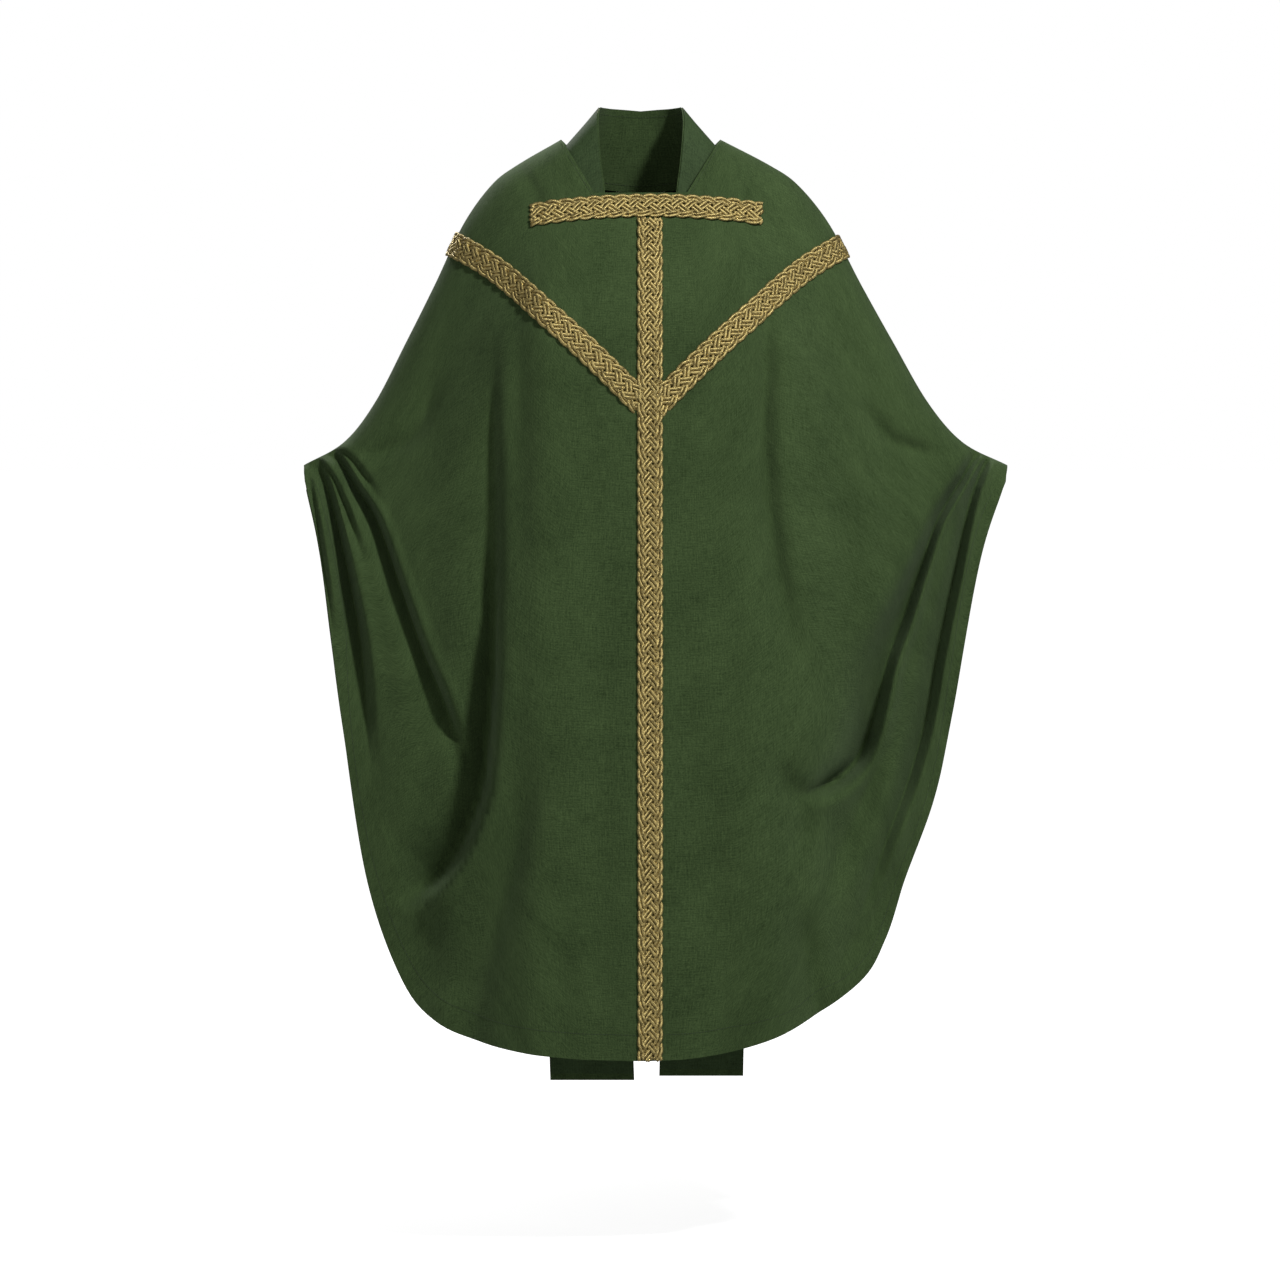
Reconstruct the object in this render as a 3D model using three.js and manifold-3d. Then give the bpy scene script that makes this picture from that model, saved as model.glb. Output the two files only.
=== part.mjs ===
// A Gothic chasuble worn over its matching stole, as the two hang on a wearer's shoulders.
// Millimetres, +Z up. The front faces -Y and the wearer's right hand is at -X.
// The origin is the point where the garments rest: mid-way between the shoulders, level with them.
import * as THREE from 'three';
import { mergeVertices } from 'three/addons/utils/BufferGeometryUtils.js';
import Module from 'manifold-3d';

const wasm = await Module();
wasm.setup();

// Chasuble, overall
const HALF_SPAN = { left: 490, right: 506 };   // centre line to each wrist
const WRIST_DROP = 464;                        // shoulder level down to the wrist
const LENGTH = 1289;                           // shoulder level down to the hem
const CUFF_EDGE = 22;                          // end of the shoulder seam down to the first of the hem

// Neckline
const NECK_SHIFT = -13;                        // middle of the neck, beside the centre line
const NECK_HALF = 112;                         // half width at the shoulders
const NECK_CORNER = 65;                        // half width at the front and back edges
const NECK_LEVEL = -4;                         // where the neckline crosses the shoulders

// How deep each panel stands off the shoulder line
const FRONT = { side: -1, roll: 74, swell: 70, flare: 62, neckDepth: 81 };
const BACK = { side: 1, roll: 100, swell: 45, flare: 55, neckDepth: 50 };
const ARM_ROLL = 50;                           // radius of the cloth over the forearm
const SWELL_DROP = 300;                        // below the shoulders, where the swell is full
const SWELL_RUN = 160;                         // from the shoulder line, where the swell is full
const BODY_HALF = 140;                         // half width of the flat of the chest
const ARM_SHARE = 0.15;                        // share of the swell that is left at the arms
const SWELL_END = 0.88;                        // share of the half span where it is down to that
const ARM_START = 0.6;                         // share of the half span where the forearm holds the cloth

// Cloth, facings and trim
const CLOTH = 2.2;
const FACING = 1.2;
const HEM_FACING_WIDTH = 40;
const SHOULDER_TAPE_HALF = 18;
const LABEL = { width: 70, height: 30, thickness: 0.8, drop: 14 };
const BRAID_WIDTH = 36;
const BRAID = 2.6;
const GAP = 0.4;                               // between pieces that are sewn together
const NECK_BAR = { left: 167, right: 157, arch: 13, inset: 1 };
const ARM_BRAID_DROP = 388;                    // where the two arms of the braid meet

// Stole
const STOLE_WIDTH = 118;
const STOLE_DROP = { left: 1326, right: 1320 };
const STOLE_FOOT = { left: 81, right: 72 };    // centre line to the middle of each end
const STOLE_SHOWS = 54;                        // how much of it shows inside the neckline
const STOLE_NECK_HALF = NECK_HALF - STOLE_SHOWS;
const STOLE_HINGE = 262;                       // shoulder level down to where an end swings
const STOLE_CHEST = 110;                       // how far forward an end hangs
const STOLE_CLOSES = 11;                       // how far it closes in from the neck to the chest
const STOLE_LAYERS = {
  lining: [-1.7, -1.0],
  interlining: [-0.6, 0.0],
  face: [0.4, 1.3],
};

// Outlines, as shares of the run from the neck to the wrist, of the half span and of the drop
const SHOULDER_LINE = [
  [0, 0], [0.17, 0.078], [0.27, 0.139], [0.38, 0.26], [0.49, 0.444],
  [0.605, 0.626], [0.725, 0.809], [0.845, 0.93], [1, 1],
];
const HEM_LINE = {
  left: [
    [0.992, 0], [0.943, 0.144], [0.886, 0.421], [0.814, 0.699],
    [0.714, 0.872], [0.614, 0.942], [0.463, 0.976], [0.24, 0.995], [0, 1],
  ],
  right: [
    [0.99, 0], [0.917, 0.144], [0.838, 0.421], [0.79, 0.56], [0.709, 0.699],
    [0.653, 0.803], [0.584, 0.872], [0.416, 0.942], [0.26, 0.979], [0.12, 0.995], [0, 1],
  ],
};
const ARM_BRAID_LINE = [[0, 0], [70, 70], [133, 128], [224, 205], [330, 262]];

// Folds, as lines in shares of the half span and of the length, with a depth and the reach to each side
const FOLDS = {
  front: [
    {
      line: [[-0.44, 0.3], [-0.445, 0.5], [-0.455, 0.62], [-0.49, 0.75], [-0.6, 0.81], [-0.74, 0.835]],
      depth: 42, toLeft: 62, toRight: 26,
    },
    {
      line: [[-0.9, 0.36], [-0.77, 0.43], [-0.66, 0.56], [-0.55, 0.67]],
      depth: 20, toLeft: 24, toRight: 24,
    },
    {
      line: [[0.93, 0.36], [0.83, 0.42], [0.71, 0.51], [0.6, 0.64], [0.48, 0.71]],
      depth: 34, toLeft: 26, toRight: 46,
    },
    {
      line: [[0.31, 0.34], [0.38, 0.5], [0.43, 0.61], [0.46, 0.7]],
      depth: 14, toLeft: 30, toRight: 40,
    },
  ],
  back: [
    {
      line: [[-0.5, 0.3], [-0.46, 0.55], [-0.5, 0.78], [-0.66, 0.86]],
      depth: 38, toLeft: 55, toRight: 28,
    },
    {
      line: [[0.52, 0.3], [0.47, 0.55], [0.5, 0.76], [0.64, 0.85]],
      depth: 38, toLeft: 28, toRight: 55,
    },
    { line: [[-0.16, 0.25], [-0.18, 0.6], [-0.2, 0.98]], depth: 14, toLeft: 34, toRight: 34 },
    { line: [[0.15, 0.25], [0.18, 0.6], [0.21, 0.98]], depth: 14, toLeft: 34, toRight: 34 },
  ],
};

// How finely the cloth is divided
const NECK_FLAT_CELLS = 3;
const NECK_SLOPE_CELLS = 3;
const SHOULDER_CELLS = 12;
const ROWS = 15;
const NECK_FACING_ROWS = 2;
const NECK_BAR_CELLS = 8;
const ARM_BRAID_CELLS = 12;
const STOLE_ACROSS = 3;
const STOLE_END_CELLS = 5;
const RIDGE_CELLS = 40;

const MATERIALS = {
  cloth: { color: 0x3d5230, roughness: 0.9, metalness: 0 },
  facing: { color: 0x34472a, roughness: 0.9, metalness: 0 },
  braid: { color: 0xb89b55, roughness: 0.45, metalness: 0.6 },
  lining: { color: 0x2b3b24, roughness: 0.6, metalness: 0 },
  canvas: { color: 0xcfc8b4, roughness: 0.95, metalness: 0 },
  label: { color: 0xe8e4d6, roughness: 0.8, metalness: 0 },
};

const model = new THREE.Group();

// ---------------------------------------------------------------- numbers

function clamp(value, low, high) {
  return Math.min(high, Math.max(low, value));
}

function smooth(from, to, value) {
  const share = clamp((value - from) / (to - from), 0, 1);
  return share * share * (3 - 2 * share);
}

// A quarter circle: 0 at the top of the roll, 1 where the cloth hangs straight.
function quarterRound(share) {
  return share >= 1 ? 1 : Math.sqrt(1 - (1 - share) ** 2);
}

// ---------------------------------------------------------------- outlines, in X and Z

function sideSign(side) {
  return side === 'left' ? -1 : 1;
}

function neckPoint(side) {
  return new THREE.Vector2(NECK_SHIFT + sideSign(side) * NECK_HALF, NECK_LEVEL);
}

function shoulderCurve(side) {
  const start = neckPoint(side);
  const run = sideSign(side) * HALF_SPAN[side] - start.x;
  const drop = -WRIST_DROP - start.y;
  const points = SHOULDER_LINE.map(([across, down]) => (
    new THREE.Vector2(start.x + across * run, start.y + down * drop)
  ));
  return new THREE.SplineCurve(points);
}

// From the foot of the panel's centre line up to the wrist.
function hemCurve(side) {
  const top = WRIST_DROP + CUFF_EDGE;
  const points = HEM_LINE[side].map(([across, down]) => (
    new THREE.Vector2(sideSign(side) * HALF_SPAN[side] * across, -top - down * (LENGTH - top))
  ));
  return new THREE.SplineCurve(points.reverse());
}

function distanceToLine(x, z, points) {
  const best = { distance: Infinity, along: 0, side: 0 };
  const spans = points.length - 1;
  for (let i = 0; i < spans; i += 1) {
    const [a, b] = [points[i], points[i + 1]];
    const [dx, dz] = [b.x - a.x, b.y - a.y];
    const share = clamp(((x - a.x) * dx + (z - a.y) * dz) / (dx * dx + dz * dz), 0, 1);
    const [gapX, gapZ] = [x - a.x - share * dx, z - a.y - share * dz];
    const distance = Math.hypot(gapX, gapZ);
    if (distance < best.distance) {
      best.distance = distance;
      best.along = (i + share) / spans;
      best.side = Math.sign(dx * gapZ - dz * gapX);
    }
  }
  return best;
}

const shoulderPoints = [
  ...shoulderCurve('left').getPoints(RIDGE_CELLS).reverse(),
  ...shoulderCurve('right').getPoints(RIDGE_CELLS),
];

function halfSpanAt(x) {
  return x < 0 ? HALF_SPAN.left : HALF_SPAN.right;
}

function foldDepth(x, z, folds) {
  let depth = 0;
  for (const fold of folds) {
    const points = fold.line.map(([across, down]) => (
      new THREE.Vector2(across * halfSpanAt(across), -down * LENGTH)
    ));
    const near = distanceToLine(x, z, points);
    const reach = near.side > 0 ? fold.toRight : fold.toLeft;
    const fade = Math.sin(Math.PI * clamp(near.along, 0.02, 0.98));
    depth += fold.depth * fade * Math.exp(-((near.distance / reach) ** 2));
  }
  return depth;
}

// ---------------------------------------------------------------- the hang of the cloth

// How far a panel stands from the plane of the shoulders, at a place seen from the front.
function standOff(x, z, panel, folds) {
  const fromRidge = distanceToLine(x, z, shoulderPoints).distance;
  const fromNeck = Math.abs(x - NECK_SHIFT);
  const toArm = smooth(NECK_HALF, HALF_SPAN.left * ARM_START, fromNeck);
  const roll = THREE.MathUtils.lerp(panel.roll, ARM_ROLL, toArm);
  const width = 1 - (1 - ARM_SHARE) * smooth(BODY_HALF, HALF_SPAN.left * SWELL_END, Math.abs(x));
  const swell = panel.swell * smooth(0, SWELL_DROP, -z) + panel.flare * (-z / LENGTH);
  const body = width * swell * smooth(0, SWELL_RUN, fromRidge);
  const fold = foldDepth(x, z, folds) * smooth(0, SWELL_RUN, fromRidge);
  return roll * quarterRound(fromRidge / roll) + body - fold;
}

function topLine(side, panel) {
  const sign = sideSign(side);
  const middle = new THREE.Vector2(0, -panel.neckDepth);
  const corner = new THREE.Vector2(NECK_SHIFT + sign * NECK_CORNER, -panel.neckDepth);
  const shoulder = neckPoint(side);
  const points = [];
  for (let i = 0; i < NECK_FLAT_CELLS; i += 1) {
    points.push(middle.clone().lerp(corner, i / NECK_FLAT_CELLS));
  }
  for (let i = 0; i < NECK_SLOPE_CELLS; i += 1) {
    points.push(corner.clone().lerp(shoulder, i / NECK_SLOPE_CELLS));
  }
  return points.concat(shoulderCurve(side).getSpacedPoints(SHOULDER_CELLS));
}

const NECK_CELLS = NECK_FLAT_CELLS + NECK_SLOPE_CELLS;

// Rows run from the top edge to the hem. The second row bounds the shoulder tape and the last but
// one bounds the hem facing, except in the short columns by the wrists.
const MOST_TAPE = 0.25;
const MOST_HEM = 0.4;

function rowShare(row, length) {
  const first = Math.min(SHOULDER_TAPE_HALF / length, MOST_TAPE);
  const last = 1 - Math.min(HEM_FACING_WIDTH / length, MOST_HEM);
  if (row === 0) return 0;
  if (row === ROWS) return 1;
  return first + (last - first) * (row - 1) / (ROWS - 2);
}

// One side of a panel, as columns from the centre line to the wrist.
function sideColumns(side, panel, folds) {
  const tops = topLine(side, panel);
  const hem = hemCurve(side);
  return tops.map((top, column) => {
    const foot = hem.getPointAt(column / (tops.length - 1));
    const length = top.distanceTo(foot);
    const points = [];
    for (let row = 0; row <= ROWS; row += 1) {
      const place = top.clone().lerp(foot, rowShare(row, length));
      const onShoulder = row === 0 && column >= NECK_CELLS;
      const depth = onShoulder ? GAP / 2 : standOff(place.x, place.y, panel, folds);
      points.push(new THREE.Vector3(place.x, panel.side * depth, place.y));
    }
    return points;
  });
}

// A whole panel as a grid of columns from the left wrist to the right wrist.
function panelGrid(panel, folds) {
  const left = sideColumns('left', panel, folds).slice(1).reverse();
  const columns = left.concat(sideColumns('right', panel, folds));
  const normals = columns.map((points, column) => points.map((point, row) => {
    const before = columns[Math.max(column - 1, 0)][row];
    const after = columns[Math.min(column + 1, columns.length - 1)][row];
    const above = points[Math.max(row - 1, 0)];
    const below = points[Math.min(row + 1, ROWS)];
    const across = after.clone().sub(before);
    const down = below.clone().sub(above);
    const normal = down.cross(across).multiplyScalar(panel.side < 0 ? 1 : -1);
    const fromMiddle = Math.abs(column - NECK_CELLS - SHOULDER_CELLS);
    if (row === 0 && fromMiddle >= NECK_CELLS) normal.y = 0;
    return normal.normalize();
  }));
  return { columns, normals };
}

// ---------------------------------------------------------------- solids

// A closed shell over a grid, between two distances along its normals. Each cell is split on its
// shorter diagonal, so the layers that share a grid stay parallel.
function shell(grid, inner, outer) {
  const { columns, normals } = grid;
  const across = columns.length;
  const down = columns[0].length;
  const positions = [];
  for (const distance of [outer, inner]) {
    for (let i = 0; i < across; i += 1) {
      for (let j = 0; j < down; j += 1) {
        const point = columns[i][j].clone().addScaledVector(normals[i][j], distance);
        positions.push(point.x, point.y, point.z);
      }
    }
  }
  const at = (layer, i, j) => layer * across * down + i * down + j;
  const faces = [];
  const quad = (a, b, c, d) => faces.push(a, b, c, a, c, d);
  for (let i = 0; i < across - 1; i += 1) {
    for (let j = 0; j < down - 1; j += 1) {
      const falling = columns[i][j].distanceTo(columns[i + 1][j + 1]);
      const rising = columns[i + 1][j].distanceTo(columns[i][j + 1]);
      const outside = [at(0, i, j), at(0, i, j + 1), at(0, i + 1, j + 1), at(0, i + 1, j)];
      const inside = [at(1, i, j), at(1, i + 1, j), at(1, i + 1, j + 1), at(1, i, j + 1)];
      if (rising < falling) {
        outside.push(outside.shift());
        inside.push(inside.shift());
      }
      quad(...outside);
      quad(...inside);
    }
  }
  for (let i = 0; i < across - 1; i += 1) {
    quad(at(0, i, 0), at(0, i + 1, 0), at(1, i + 1, 0), at(1, i, 0));
    quad(at(0, i + 1, down - 1), at(0, i, down - 1), at(1, i, down - 1), at(1, i + 1, down - 1));
  }
  for (let j = 0; j < down - 1; j += 1) {
    quad(at(0, 0, j + 1), at(0, 0, j), at(1, 0, j), at(1, 0, j + 1));
    quad(at(0, across - 1, j), at(0, across - 1, j + 1), at(1, across - 1, j + 1), at(1, across - 1, j));
  }
  const geometry = new THREE.BufferGeometry();
  geometry.setAttribute('position', new THREE.Float32BufferAttribute(positions, 3));
  geometry.setIndex(faces);
  return facingOut(geometry);
}

function signedVolume(geometry) {
  const position = geometry.getAttribute('position');
  const index = geometry.getIndex().array;
  const [a, b, c] = [new THREE.Vector3(), new THREE.Vector3(), new THREE.Vector3()];
  let volume = 0;
  for (let i = 0; i < index.length; i += 3) {
    a.fromBufferAttribute(position, index[i]);
    b.fromBufferAttribute(position, index[i + 1]);
    c.fromBufferAttribute(position, index[i + 2]);
    volume += a.dot(b.cross(c)) / 6;
  }
  return volume;
}

function facingOut(geometry) {
  if (signedVolume(geometry) < 0) {
    const index = geometry.getIndex().array;
    for (let i = 0; i < index.length; i += 3) {
      [index[i], index[i + 1]] = [index[i + 1], index[i]];
    }
  }
  return geometry;
}

// The cells of a grid between two columns and two rows.
function part(grid, fromColumn, toColumn, fromRow, toRow) {
  const cut = (columns) => columns.slice(fromColumn, toColumn + 1).map((points) => (
    points.slice(fromRow, toRow + 1)
  ));
  return { columns: cut(grid.columns), normals: cut(grid.normals) };
}

// Front and back joined over the shoulder, between two columns, down to the same row on each.
function overShoulder(front, back, fromColumn, toColumn, row) {
  const join = (fronts, backs) => fronts.slice(fromColumn, toColumn + 1).map((points, i) => (
    points.slice(0, row + 1).reverse().concat(backs[fromColumn + i].slice(0, row + 1))
  ));
  return { columns: join(front.columns, back.columns), normals: join(front.normals, back.normals) };
}

function solidFrom(geometry) {
  const bare = geometry.clone();
  bare.deleteAttribute('normal');
  bare.deleteAttribute('uv');
  const merged = mergeVertices(bare, 1e-5);
  return new wasm.Manifold(new wasm.Mesh({
    numProp: 3,
    vertProperties: new Float32Array(merged.getAttribute('position').array),
    triVerts: new Uint32Array(merged.getIndex().array),
  }));
}

function geometryFrom(solid) {
  const mesh = solid.getMesh();
  const geometry = new THREE.BufferGeometry();
  geometry.setAttribute('position', new THREE.BufferAttribute(mesh.vertProperties, 3));
  geometry.setIndex(new THREE.BufferAttribute(mesh.triVerts, 1));
  return geometry;
}

// An outline in X and Z, carried from the front of the object to the back of it.
function prism(points, fromY, toY) {
  const outline = new THREE.Shape(points);
  const geometry = new THREE.ExtrudeGeometry(outline, { depth: toY - fromY, bevelEnabled: false });
  geometry.rotateX(Math.PI / 2);
  geometry.translate(0, toY, 0);
  return geometry;
}

// The outline of a strip that runs along a line.
function stripOutline(line, width) {
  const edges = [[], []];
  line.forEach((point, i) => {
    const before = line[Math.max(i - 1, 0)];
    const after = line[Math.min(i + 1, line.length - 1)];
    const along = after.clone().sub(before).normalize();
    const side = new THREE.Vector2(-along.y, along.x).multiplyScalar(width / 2);
    edges[0].push(point.clone().add(side));
    edges[1].push(point.clone().sub(side));
  });
  return edges[0].concat(edges[1].reverse());
}

function add(name, geometry, material) {
  const mesh = new THREE.Mesh(geometry, new THREE.MeshStandardMaterial(MATERIALS[material]));
  mesh.name = name;
  model.add(mesh);
}

// A piece cut from the sheets that lie over some grids: inside one outline and outside the others.
function addSewn(name, grids, outlines, material, inner, outer) {
  const [kept, ...cut] = outlines.map(solidFrom);
  let solid = grids.map((grid) => solidFrom(shell(grid, inner, outer))).reduce((a, b) => a.add(b));
  solid = solid.intersect(kept);
  for (const away of cut) solid = solid.subtract(away);
  add(name, geometryFrom(solid), material);
}

// ---------------------------------------------------------------- chasuble

const DEPTH_LIMIT = 400;
const frontGrid = panelGrid(FRONT, FOLDS.front);
const backGrid = panelGrid(BACK, FOLDS.back);
const MIDDLE = NECK_CELLS + SHOULDER_CELLS;
const LAST = 2 * MIDDLE;

function addPanels() {
  add('front_panel', shell(frontGrid, -CLOTH, 0), 'cloth');
  add('back_panel', shell(backGrid, -CLOTH, 0), 'cloth');
}

// Facings lie inside the cloth, one gap away from it.
function addFacings() {
  const outer = -CLOTH - GAP;
  const inner = outer - FACING;
  const neck = [MIDDLE - NECK_CELLS, MIDDLE + NECK_CELLS, 0, NECK_FACING_ROWS];
  const hem = [1, LAST - 1, ROWS - 1, ROWS];
  add('front_neck_facing', shell(part(frontGrid, ...neck), inner, outer), 'facing');
  add('back_neck_facing', shell(part(backGrid, ...neck), inner, outer), 'facing');
  add('front_hem_facing', shell(part(frontGrid, ...hem), inner, outer), 'facing');
  add('back_hem_facing', shell(part(backGrid, ...hem), inner, outer), 'facing');
  const left = overShoulder(frontGrid, backGrid, 0, MIDDLE - NECK_CELLS - 1, 1);
  const right = overShoulder(frontGrid, backGrid, MIDDLE + NECK_CELLS + 1, LAST, 1);
  add('left_shoulder_tape', shell(left, inner, outer), 'facing');
  add('right_shoulder_tape', shell(right, inner, outer), 'facing');
}

function columnOutline(extra, top) {
  const half = BRAID_WIDTH / 2 + extra;
  return [
    new THREE.Vector2(-half, -LENGTH - 10),
    new THREE.Vector2(half, -LENGTH - 10),
    new THREE.Vector2(half, top),
    new THREE.Vector2(-half, top),
  ];
}

function neckBarLine() {
  const points = [];
  for (let i = 0; i <= NECK_BAR_CELLS; i += 1) {
    const x = THREE.MathUtils.lerp(-NECK_BAR.left, NECK_BAR.right, i / NECK_BAR_CELLS);
    const bow = (x / NECK_BAR.left) ** 2 * NECK_BAR.arch;
    points.push(new THREE.Vector2(x, -FRONT.neckDepth - NECK_BAR.inset - BRAID_WIDTH / 2 - bow));
  }
  return points;
}

function armBraidLine(side) {
  const points = ARM_BRAID_LINE.map(([across, up]) => (
    new THREE.Vector2(sideSign(side) * across, -ARM_BRAID_DROP + up)
  ));
  return new THREE.SplineCurve(points).getPoints(ARM_BRAID_CELLS);
}

function addBraids() {
  const [inner, outer] = [GAP, GAP + BRAID];
  const barFoot = -FRONT.neckDepth - NECK_BAR.inset - BRAID_WIDTH - GAP;
  const neckBar = prism(stripOutline(neckBarLine(), BRAID_WIDTH), -DEPTH_LIMIT, 0);
  addSewn('front_neck_braid', [frontGrid], [neckBar], 'braid', inner, outer);
  const frontColumn = prism(columnOutline(0, barFoot), -DEPTH_LIMIT, 0);
  addSewn('front_column_braid', [frontGrid], [frontColumn], 'braid', inner, outer);
  const backColumn = prism(columnOutline(0, 0), 0, DEPTH_LIMIT);
  addSewn('back_column_braid', [backGrid], [backColumn], 'braid', inner, outer);
  const column = prism(columnOutline(GAP, 0), -DEPTH_LIMIT, DEPTH_LIMIT);
  const sides = { left: [0, MIDDLE - NECK_CELLS], right: [MIDDLE + NECK_CELLS, LAST] };
  for (const side of ['left', 'right']) {
    const strip = prism(stripOutline(armBraidLine(side), BRAID_WIDTH), -DEPTH_LIMIT, DEPTH_LIMIT);
    const grids = [frontGrid, backGrid, overShoulder(frontGrid, backGrid, ...sides[side], 1)];
    addSewn(`${side}_arm_braid`, grids, [strip, column], 'braid', inner, outer);
  }
}

function addLabel() {
  const outer = -CLOTH - FACING - 2 * GAP;
  const top = -BACK.neckDepth - LABEL.drop;
  const half = LABEL.width / 2;
  const outline = [
    new THREE.Vector2(NECK_SHIFT - half, top - LABEL.height),
    new THREE.Vector2(NECK_SHIFT + half, top - LABEL.height),
    new THREE.Vector2(NECK_SHIFT + half, top),
    new THREE.Vector2(NECK_SHIFT - half, top),
  ];
  const patch = prism(outline, 0, DEPTH_LIMIT);
  addSewn('neck_label', [backGrid], [patch], 'label', outer - LABEL.thickness, outer);
}

// ---------------------------------------------------------------- stole

// Stations from the middle of the back of the neck, over the shoulder and down the chest: the inner
// edge and the direction across the band, both measured from the middle of the neck.
const STOLE_STATIONS = [
  { inner: [0.2, 62, 38], across: [0, 22, -116] },
  { inner: [40, 52, 41], across: [32, 28, -113] },
  { inner: [STOLE_NECK_HALF - 4, 30, 42], across: [62, 18, -96] },
  { inner: [STOLE_NECK_HALF, 8, 41], across: [77, 4, -91] },
  { inner: [STOLE_NECK_HALF + 2, -18, 26.9], across: [84, 0, -84] },
  { inner: [STOLE_NECK_HALF + 1, -36, 2], across: [90, -3, -74] },
  { inner: [STOLE_NECK_HALF - 3, -50, -40], across: [99, -3, -60] },
  { inner: [STOLE_NECK_HALF - 8, -61, -84], across: [108, -1, -45] },
  { inner: [STOLE_NECK_HALF - 10, -88, -170], across: [116, 0, -18] },
  { inner: [STOLE_NECK_HALF - STOLE_CLOSES, -STOLE_CHEST, -STOLE_HINGE], across: [1, 0, 0] },
];

function bandGrid(rows, sign) {
  const columns = rows.map(({ inner, across }) => {
    const step = across.clone().setLength(STOLE_WIDTH / STOLE_ACROSS);
    const points = [];
    for (let i = 0; i <= STOLE_ACROSS; i += 1) points.push(inner.clone().addScaledVector(step, i));
    return points;
  });
  const normals = columns.map((points, column) => points.map((point, row) => {
    const before = columns[Math.max(column - 1, 0)][row];
    const after = columns[Math.min(column + 1, columns.length - 1)][row];
    const along = after.clone().sub(before);
    const side = points[STOLE_ACROSS].clone().sub(points[0]);
    return side.cross(along).multiplyScalar(-sign).normalize();
  }));
  return { columns, normals };
}

function neckBand(side) {
  const sign = sideSign(side);
  const rows = STOLE_STATIONS.map(({ inner, across }) => ({
    inner: new THREE.Vector3(NECK_SHIFT + sign * inner[0], inner[1], inner[2]),
    across: new THREE.Vector3(sign * across[0], across[1], across[2]),
  }));
  const grid = bandGrid(rows, sign);
  grid.normals[0].forEach((normal) => {
    normal.x = 0;
    normal.normalize();
  });
  grid.normals[rows.length - 1].forEach((normal) => normal.set(0, -1, 0));
  return grid;
}

function hangingEnd(side) {
  const sign = sideSign(side);
  const top = NECK_SHIFT + sign * (STOLE_NECK_HALF - STOLE_CLOSES);
  const foot = sign * (STOLE_FOOT[side] - STOLE_WIDTH / 2);
  const rows = [];
  for (let i = 0; i <= STOLE_END_CELLS; i += 1) {
    const x = THREE.MathUtils.lerp(top, foot, i / STOLE_END_CELLS);
    const z = THREE.MathUtils.lerp(-STOLE_HINGE - GAP, -STOLE_DROP[side], i / STOLE_END_CELLS);
    rows.push({
      inner: new THREE.Vector3(x, -STOLE_CHEST, z),
      across: new THREE.Vector3(sign, 0, 0),
    });
  }
  return bandGrid(rows, sign);
}

function addStole() {
  for (const side of ['left', 'right']) {
    const neck = neckBand(side);
    const end = hangingEnd(side);
    for (const [layer, [inner, outer]] of Object.entries(STOLE_LAYERS)) {
      const material = { face: 'cloth', interlining: 'canvas', lining: 'lining' }[layer];
      add(`stole_neck_${side}_${layer}`, shell(neck, inner, outer), material);
      add(`stole_end_${side}_${layer}`, shell(end, inner, outer), material);
    }
  }
}

addPanels();
addFacings();
addBraids();
addLabel();
addStole();

export default model;
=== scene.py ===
# The looks of a Gothic chasuble and its stole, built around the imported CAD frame.
# Metres, +Z up. The front faces -Y. The origin is between the wearer's shoulders.
import math

import bpy
import numpy as np
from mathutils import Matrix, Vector
from mathutils.kdtree import KDTree


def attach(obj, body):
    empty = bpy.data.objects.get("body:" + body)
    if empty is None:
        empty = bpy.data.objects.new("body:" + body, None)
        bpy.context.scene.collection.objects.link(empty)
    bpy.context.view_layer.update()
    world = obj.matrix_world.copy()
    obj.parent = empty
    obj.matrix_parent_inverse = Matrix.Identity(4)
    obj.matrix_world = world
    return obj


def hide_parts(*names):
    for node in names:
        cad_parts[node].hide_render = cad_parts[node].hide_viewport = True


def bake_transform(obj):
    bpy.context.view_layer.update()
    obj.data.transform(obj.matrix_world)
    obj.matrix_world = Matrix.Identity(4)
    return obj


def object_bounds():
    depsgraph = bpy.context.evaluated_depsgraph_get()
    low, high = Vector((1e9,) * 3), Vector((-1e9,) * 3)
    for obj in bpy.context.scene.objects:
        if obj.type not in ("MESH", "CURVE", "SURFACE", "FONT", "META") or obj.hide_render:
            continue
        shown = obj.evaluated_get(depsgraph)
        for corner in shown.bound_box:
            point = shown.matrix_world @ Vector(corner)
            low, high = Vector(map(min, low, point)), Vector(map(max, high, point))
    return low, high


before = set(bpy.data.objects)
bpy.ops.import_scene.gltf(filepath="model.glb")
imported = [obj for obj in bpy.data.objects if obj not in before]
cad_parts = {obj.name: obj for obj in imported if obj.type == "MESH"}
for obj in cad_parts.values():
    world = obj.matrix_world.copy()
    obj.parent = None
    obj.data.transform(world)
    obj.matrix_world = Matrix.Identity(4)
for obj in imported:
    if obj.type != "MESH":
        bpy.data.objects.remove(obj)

CAD_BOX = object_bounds()

# ------ sizes, as in the CAD model

# The frame's box gives the reach of both wrists and the foot of the stole, to 0.1 mm
HALF_SPAN = {"left": round(-CAD_BOX[0][0], 4), "right": round(CAD_BOX[1][0], 4)}
STOLE_FOOT = round(-CAD_BOX[0][2], 4)
LENGTH = round(STOLE_FOOT - 0.037, 4)
WRIST_DROP = 0.464
CUFF_EDGE = 0.022
NECK_SHIFT = -0.013
NECK_HALF = 0.112
NECK_CORNER = 0.065
NECK_LEVEL = -0.004
BRAID_WIDTH = 0.036
HEM_FACING = 0.040
STOLE_WIDTH = 0.118

# How the cloth stands off the wearer: over the arm, and swelling out below the shoulder
ARM_ROLL = 0.050
SWELL_DROP = 0.300
SWELL_RUN = 0.160
BODY_HALF = 0.140
ARM_SHARE = 0.15
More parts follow.
